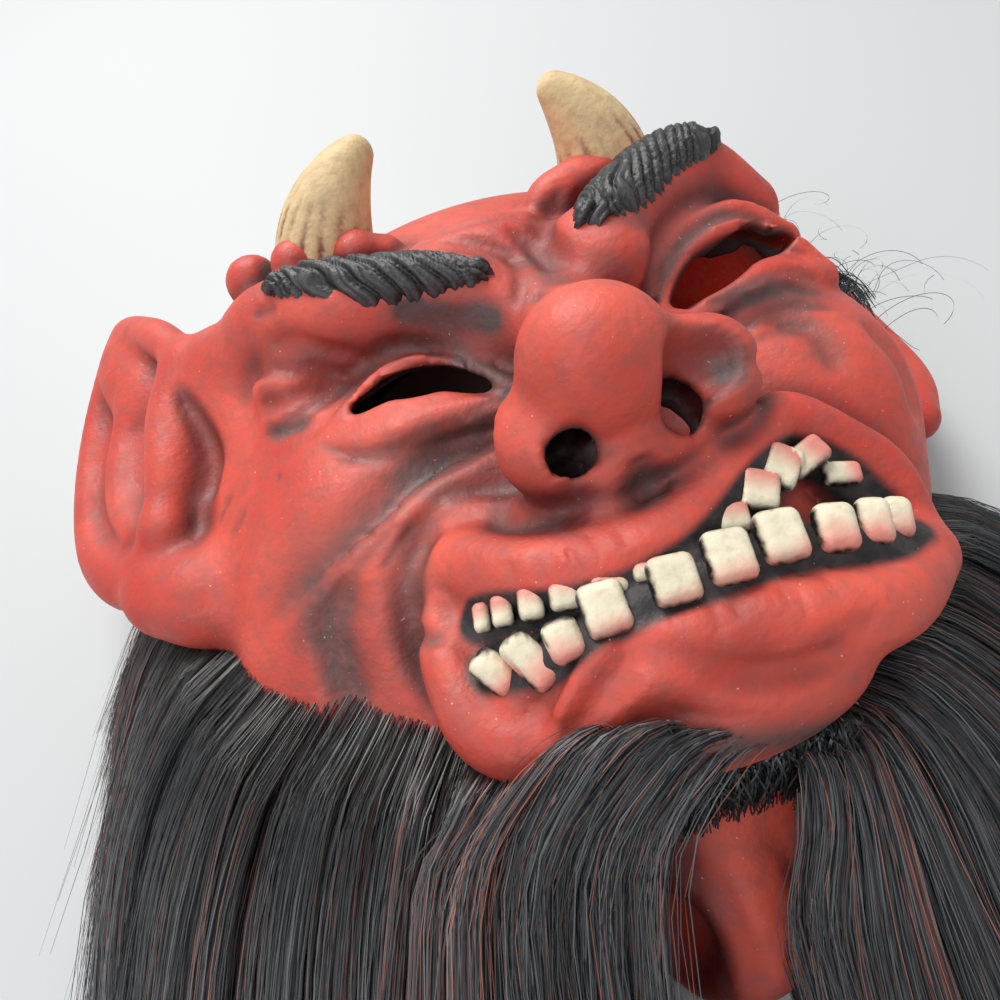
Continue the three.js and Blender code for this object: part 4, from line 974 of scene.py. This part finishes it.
def lay_strands(skin, name, rng, count, locks):
    """Paths of the strands of a lot, each one's lock and its depth in the lot."""
    place = np.sort(rng.random(count))
    layer = rng.random(count) ** 0.5
    if name == "left_beard_hair":  # a thin sheet over the parting
        thin = np.clip((place - 0.6) / 0.3, 0, 1)
        layer = layer + (1 - layer) * 0.9 * thin
    lock = np.clip((place * locks + rng.normal(0, 0.22, count)).astype(int), 0, locks - 1)
    wave = rng.normal(0, 1, (locks, 5))[lock]
    pull = (lock + 0.5 + 0.3 * wave[:, 3]) / locks - place
    controls = guided(GUIDES[name], place[:, None] + pull[:, None] * GATHER)
    controls[:, 5] += (controls[:, 4] - controls[:, 5]) * rng.uniform(-0.05, 0.45, (count, 1))
    if name == "crown_hair":  # thinner and shorter towards its two ends
        full = np.clip(np.minimum(place, 1 - place) / 0.14 + 0.25 * rng.random(count), 0.2, 1)
        controls = controls[:, :1] + (controls - controls[:, :1]) * full[:, None, None] ** 0.5
        controls[..., 2] *= full[:, None] ** 0.7
    angle = np.arctan2(controls[:, 0, 1] - CENTRE[1], controls[:, 0, 0] - CENTRE[0])
    roots, ways = skin_at(skin, angle, controls[:, 0, 2] * (0.35 + 0.65 * layer))
    controls[..., 2] *= (0.32 + 0.68 * layer)[:, None]
    controls += (roots - 1.5 * ways - controls[:, 0])[:, None] * SLIP[:, None]
    run = np.linspace(0, 1, 6)
    across = unit(np.cross(controls[:, 4] - controls[:, 1], (0, 0, 1)))
    sway = 2.4 * wave[:, :1] * run**1.5 + 1.8 * np.sin(6 * run + 3 * wave[:, 1:2]) * run
    controls += across[:, None] * sway[..., None]
    controls[..., 2] *= 1 + 0.05 * wave[:, 2:3] * run**0.5
    curves = smooth_path(controls.transpose(1, 0, 2), 6)
    kept = KEPT + np.round(SHIFT * rng.uniform(-1, 1, (count, 1))).astype(int)
    paths = curves[kept, np.arange(count)[:, None]]
    run = kept / KEPT[-1]
    stray = np.where(rng.random(count) < STRAY_SHARE, STRAY_REACH, 1.0)[:, None]
    loose = rng.normal(0, LOOSE, (count, 1)) * run * stray
    ripple = np.sin(rng.uniform(4, 9, (count, 1)) * run + 6 * rng.random((count, 1)))
    loose = loose + 0.7 * stray * ripple * run**0.5
    paths = paths + across[:, None] * loose[..., None]
    paths[..., 2] += np.abs(rng.normal(0, 0.5, (count, 1))) * run**0.5 * stray
    paths[..., 2] = np.maximum(paths[..., 2], 0.4)
    paths[..., 0] = np.maximum(paths[..., 0], HAIR_EDGE + 0.15 * np.abs(paths[..., 0] - HAIR_EDGE))
    return paths, wave, layer


def hair_colours(rng, wave, layer, run, root):
    """Black fibres, some greyer, partly as a painted sheen, and some copper; painted shade deep down and
    towards the roots; root is the light at the strand's root.
    """
    count = len(layer)
    # grey of lighter fibres and of painted sheen
    grey_and_sheen = 1.6 * rng.random((count, 1)) ** 2.6 + 0.12 * np.clip(wave[:, 4:5], 0, 2)
    colour = BLACK_HAIR + (GREY_AND_SHEEN_HAIR - BLACK_HAIR) * np.clip(grey_and_sheen, 0, 1.7)
    copper = rng.random(count) < np.clip(0.10 + 0.09 * wave[:, 0], 0.03, 0.3)
    colour[copper] = COPPER_HAIR * rng.uniform(0.25, 0.9, (copper.sum(), 1))
    # painted shade: darker deep in the lot and towards the roots
    depth = (0.3 + 0.7 * layer)[:, None] * np.clip(root + 2.3 * run, 0.05, 1)
    return colour[:, None] * depth[..., None]


def flyaways(skin, rng, count=110):
    """Thin curling hairs that stand off beside the right temple."""
    angle = np.radians(rng.uniform(18, 74, count))
    roots, ways = skin_at(skin, angle, rng.uniform(26, 46, count))
    run = np.linspace(0, 1, 22)
    turn, size = rng.uniform(0, 6.28, (count, 1)), rng.uniform(2, 9, (count, 1))
    rounds = rng.uniform(3, 8, (count, 1))
    reach = rng.uniform(12, 42, (count, 1)) * run
    across = np.cross(ways, (0, 0, 1))
    paths = roots[:, None] + ways[:, None] * (reach + size * np.cos(rounds * run + turn) * run)[..., None]
    swing = size * np.sin(rounds * run + turn) * run + rng.normal(0, 9, (count, 1)) * run
    paths += across[:, None] * swing[..., None]
    paths[..., 2] += 14 * rng.random((count, 1)) * np.sin(2.4 * run) - 10 * run**2
    return paths


def tuft(skin, rng, count=260):
    """Dark lock that comes out behind the right temple."""
    angle = np.radians(rng.uniform(27, 36, count))
    roots, ways = skin_at(skin, angle, rng.uniform(34, 46, count))
    run = np.linspace(0, 1, 11)
    bend = np.stack([15 * run + 4 * np.sin(3 * run), 6 * np.sin(3.1 * run), 3 * run - 8 * run**2], 1)
    paths = roots[:, None] + bend * rng.uniform(0.6, 1.1, (count, 1, 1))
    return paths + rng.normal(0, 1.1, (count, 1, 3)) * run[:, None]


def chin_roots(rng, count=1100):
    """Short dark hairs along the strip under the chin, over the top of the neck."""
    start = rng.uniform(-25, 15, count)
    run = np.linspace(0, 1, 9)
    drop = rng.uniform(0.35, 0.85, (count, 1)) * run
    lean = rng.normal(-1.5, 3.0, (count, 1)) * run + rng.normal(0, 1.2, (count, 1)) * np.sin(5 * run)
    lift = rng.uniform(0.2, 3.0, (count, 1)) * np.sin(3 * run)
    across = start[:, None] + lean
    back = -88.5 - 12.5 * drop - lift
    height = 53 - 4 * drop - 9.5 * drop**2 + lift
    return np.stack([across, back, height], -1)


def build_hair(skin):
    material = hair_material()
    for name, (count, locks, seed) in STRANDS.items():
        rng = np.random.default_rng(seed)
        paths, wave, layer = lay_strands(skin, name, rng, count, locks)
        run = KEPT / KEPT[-1]
        widths = STRAND_WIDTH * (1 - 0.65 * run**3) * rng.uniform(0.6, 1.3, (count, 1))
        points, faces = ribbon_mesh(paths, widths, rng.normal(0, 0.5, count))
        # painted shade at the roots: strong on the side lots, weaker on the beards
        root = 0.4 if "beard" in name else -0.2
        paint = np.repeat(hair_colours(rng, wave, layer, run, root).reshape(-1, 3), 2, axis=0)
        extras = []
        if name == "crown_hair":
            extras = [(flyaways(skin, rng), 0.15, 3.0), (tuft(skin, rng), 0.3, 1.2)]
        if name == "left_beard_hair":
            # painted shade: the short hairs under the chin are darker than the black fibres
            extras = [(chin_roots(rng), 0.3, 0.5)]
        for extra, width, light in extras:
            more, quads = ribbon_mesh(extra, np.full(extra.shape[:2], width), rng.normal(0, 0.6, len(extra)))
            faces = np.vstack([faces, quads + len(points)])
            points = np.vstack([points, more])
            paint = np.vstack([paint, np.tile(light * BLACK_HAIR, (len(more), 1))])
        add_piece(name.replace("hair", "strands"), points, faces, material, name, paint)
        add_bulk(name, material)


def add_bulk(name, material):
    """Dark depth of a lot of hair: a closed body under its strands, in painted shade darker than the black
    fibres.
    """
    stations = 28
    ends = (0.12, 0.88) if name == "crown_hair" else (0.03, 0.97)
    controls = guided(GUIDES[name], np.repeat(np.linspace(*ends, stations)[:, None], 6, axis=1))
    controls[:, 5] += 0.9 * (controls[:, 4] - controls[:, 5])
    controls[:, 4] += 0.3 * (controls[:, 3] - controls[:, 4])
    over = smooth_path(controls.transpose(1, 0, 2), 2).transpose(1, 0, 2)
    steps = over.shape[1]
    low_end = np.clip(np.minimum(np.arange(stations), np.arange(stations)[::-1]) / 5, 0.15, 1)
    over[..., 2] = np.maximum(0.62 * over[..., 2] * low_end[:, None], 1.0)
    under = over.copy()
    under[..., 2] = 0.3
    a = np.arange(stations * steps).reshape(stations, steps)
    b = a + stations * steps
    quads = [np.stack([a[:-1, :-1], a[:-1, 1:], a[1:, 1:], a[1:, :-1]], -1).reshape(-1, 4),
             np.stack([b[:-1, :-1], b[1:, :-1], b[1:, 1:], b[:-1, 1:]], -1).reshape(-1, 4)]
    ring = np.r_[a[:, 0], a[-1, 1:], a[::-1, -1][1:], a[0, ::-1][1:-1]]
    after = np.roll(ring, -1)
    quads.append(np.stack([ring, after, after + stations * steps, ring + stations * steps], -1))
    points = np.vstack([over.reshape(-1, 3), under.reshape(-1, 3)])
    # painted shade: darker than the black fibres
    paint = np.tile(0.35 * BLACK_HAIR, (len(points), 1))
    add_piece(name.replace("hair", "depth"), points, np.vstack(quads), material, name, paint)


# Materials

def new_material(name, roughness):
    """Principled material whose colour is the paint; returns it with its nodes and shader."""
    material = bpy.data.materials.new(name)
    material.use_nodes = True
    nodes = material.node_tree.nodes
    shader = nodes["Principled BSDF"]
    shader.inputs["Roughness"].default_value = roughness
    paint = nodes.new("ShaderNodeAttribute")
    paint.attribute_name = "paint"
    return material, nodes, material.node_tree.links, shader, paint


def noise(nodes, links, scale, detail):
    """Noise over object coordinates, in lumps per metre."""
    place = nodes.new("ShaderNodeTexCoord")
    texture = nodes.new("ShaderNodeTexNoise")
    texture.inputs["Scale"].default_value = scale
    texture.inputs["Detail"].default_value = detail
    links.new(place.outputs["Object"], texture.inputs["Vector"])
    return texture.outputs["Fac"]


def remap(nodes, links, value, low, high, to_low, to_high):
    spread = nodes.new("ShaderNodeMapRange")
    for socket, number in zip(("From Min", "From Max", "To Min", "To Max"), (low, high, to_low, to_high)):
        spread.inputs[socket].default_value = number
    links.new(value, spread.inputs["Value"])
    return spread.outputs["Result"]


def tint(nodes, links, base, colour, share):
    """Mixes a colour over a base colour by a share."""
    mixer = nodes.new("ShaderNodeMix")
    mixer.data_type = "RGBA"
    mixer.inputs["B"].default_value = (*colour, 1)
    for socket, source in (("A", base), ("Factor", share)):
        links.new(source, mixer.inputs[socket])
    return mixer.outputs["Result"]


def bump(nodes, links, shader, height, distance, strength):
    relief = nodes.new("ShaderNodeBump")
    relief.inputs["Distance"].default_value = distance
    relief.inputs["Strength"].default_value = strength
    links.new(height, relief.inputs["Height"])
    links.new(relief.outputs["Normal"], shader.inputs["Normal"])


def vinyl_material():
    """Matte painted vinyl with fine pores, faint mottling and specks of dust."""
    material, nodes, links, shader, paint = new_material("painted_vinyl", 0.55)
    mottle = remap(nodes, links, noise(nodes, links, 260, 4), 0.42, 0.68, 0, 0.28)
    colour = tint(nodes, links, paint.outputs["Color"], ASH * 1.6, mottle)
    dust = remap(nodes, links, noise(nodes, links, 1300, 1), 0.775, 0.80, 0, 0.55)
    colour = tint(nodes, links, colour, (0.80, 0.60, 0.52), dust)
    links.new(colour, shader.inputs["Base Color"])
    gloss = remap(nodes, links, noise(nodes, links, 180, 3), 0.3, 0.7, 0.46, 0.62)
    links.new(gloss, shader.inputs["Roughness"])
    bump(nodes, links, shader, noise(nodes, links, 620, 5), 0.0005, 0.45)
    return material


def worn_material(name, roughness, wear, colour, relief=None):
    """Paint with grime in patches. wear is the noise's scale and detail, its range and the grime's share;
    relief is the scale and detail of the bumps, their height and strength."""
    material, nodes, links, shader, paint = new_material(name, roughness)
    scale, detail, low, high, share = wear
    grime = remap(nodes, links, noise(nodes, links, scale, detail), low, high, 0, share)
    mixed = tint(nodes, links, paint.outputs["Color"], colour, grime)
    links.new(mixed, shader.inputs["Base Color"])
    if relief:
        scale, detail, distance, strength = relief
        bump(nodes, links, shader, noise(nodes, links, scale, detail), distance, strength)
    return material


def tooth_material():
    return worn_material("painted_teeth", 0.42, (700, 4, 0.5, 0.75, 0.35), (0.50, 0.36, 0.20),
                         (500, 3, 0.0005, 0.5))


def horn_material():
    return worn_material("painted_horn", 0.62, (320, 5, 0.45, 0.75, 0.4), (0.33, 0.20, 0.10),
                         (520, 4, 0.0006, 0.6))


def brow_material():
    return worn_material("painted_brow", 0.45, (500, 4, 0.5, 0.8, 0.3), (0.12, 0.11, 0.11),
                         (900, 3, 0.0004, 0.6))


def hair_material():
    """Glossy artificial fibre."""
    material = worn_material("artificial_hair", 0.38, (90, 4, 0.4, 0.7, 0.35), (0.05, 0.055, 0.06))
    material.node_tree.nodes["Principled BSDF"].inputs["Specular IOR Level"].default_value = 0.6
    return material


# Stage

TABLE_HALF = 3.0  # metres
TABLE_GREY = (0.56, 0.58, 0.585, 1)
ROOM_GREY = (0.97, 0.98, 1.0, 1)
ROOM_STRENGTH = 0.50
# Name, place, target, size in metres, power in watts and colour
LIGHTS = [
    ("window", (-0.15, 0.75, 0.95), (0, 0.03, 0.05), 0.7, 13, (1.0, 0.98, 0.95)),
    ("room_light", (-0.6, -0.5, 0.9), (0, 0, 0.03), 0.8, 4.5, (0.95, 0.97, 1.0)),
    ("inside_glow", (0.055, 0.055, 0.03), (0.075, 0.09, 0.03), 0.02, 0.004, (1.0, 0.5, 0.35)),
]


def build_stage():
    mesh = bpy.data.meshes.new("table_top")
    h = TABLE_HALF
    mesh.from_pydata([(-h, -h, 0), (h, -h, 0), (h, h, 0), (-h, h, 0)], [], [(0, 1, 2, 3)])
    table = bpy.data.objects.new("table_top", mesh)
    bpy.context.collection.objects.link(table)
    material = bpy.data.materials.new("pale_table")
    material.use_nodes = True
    shader = material.node_tree.nodes["Principled BSDF"]
    shader.inputs["Base Color"].default_value = TABLE_GREY
    shader.inputs["Roughness"].default_value = 0.5
    mesh.materials.append(material)


def add_light(name, place, target, size, power, colour):
    lamp = bpy.data.lights.new(name, "AREA")
    lamp.shape = "DISK"
    lamp.size = size
    lamp.energy = power
    lamp.color = colour
    light = bpy.data.objects.new(name, lamp)
    bpy.context.collection.objects.link(light)
    aim = (Vector(target) - Vector(place)).to_track_quat("-Z", "Y")
    light.matrix_world = Matrix.Translation(place) @ aim.to_matrix().to_4x4()


def build_lights():
    bpy.context.scene.view_settings.view_transform = "Standard"
    world = bpy.data.worlds.new("room")
    bpy.context.scene.world = world
    world.use_nodes = True
    world.node_tree.nodes["Background"].inputs["Color"].default_value = ROOM_GREY
    world.node_tree.nodes["Background"].inputs["Strength"].default_value = ROOM_STRENGTH
    for light in LIGHTS:
        add_light(*light)


# Camera axes in the frame and its place in the mask's own axes
CAMERA_PLACE = np.array([-39.4, -123.0, 184.4])
CAMERA_RIGHT = (0.939, -0.316, -0.133)
CAMERA_AHEAD = (0.089, 0.600, -0.795)
LENS = 27.0
SENSOR = 36.0


def build_camera():
    ahead = Vector(CAMERA_AHEAD).normalized()
    right = Vector(CAMERA_RIGHT)
    right = (right - ahead * right.dot(ahead)).normalized()
    up = right.cross(ahead)
    camera = bpy.data.cameras.new("camera")
    camera.lens = LENS
    camera.sensor_width = SENSOR
    camera.clip_start = 0.01
    view = bpy.data.objects.new("camera", camera)
    bpy.context.collection.objects.link(view)
    axes = Matrix((right, up, -ahead)).transposed().to_4x4()
    view.matrix_world = Matrix.Translation(to_frame(CAMERA_PLACE)) @ axes
    bpy.context.scene.camera = view


build_camera()
build_lights()
build_stage()
face_skin = build_face()
build_teeth()
build_horns()
build_brows(face_skin)
build_hair(face_skin)
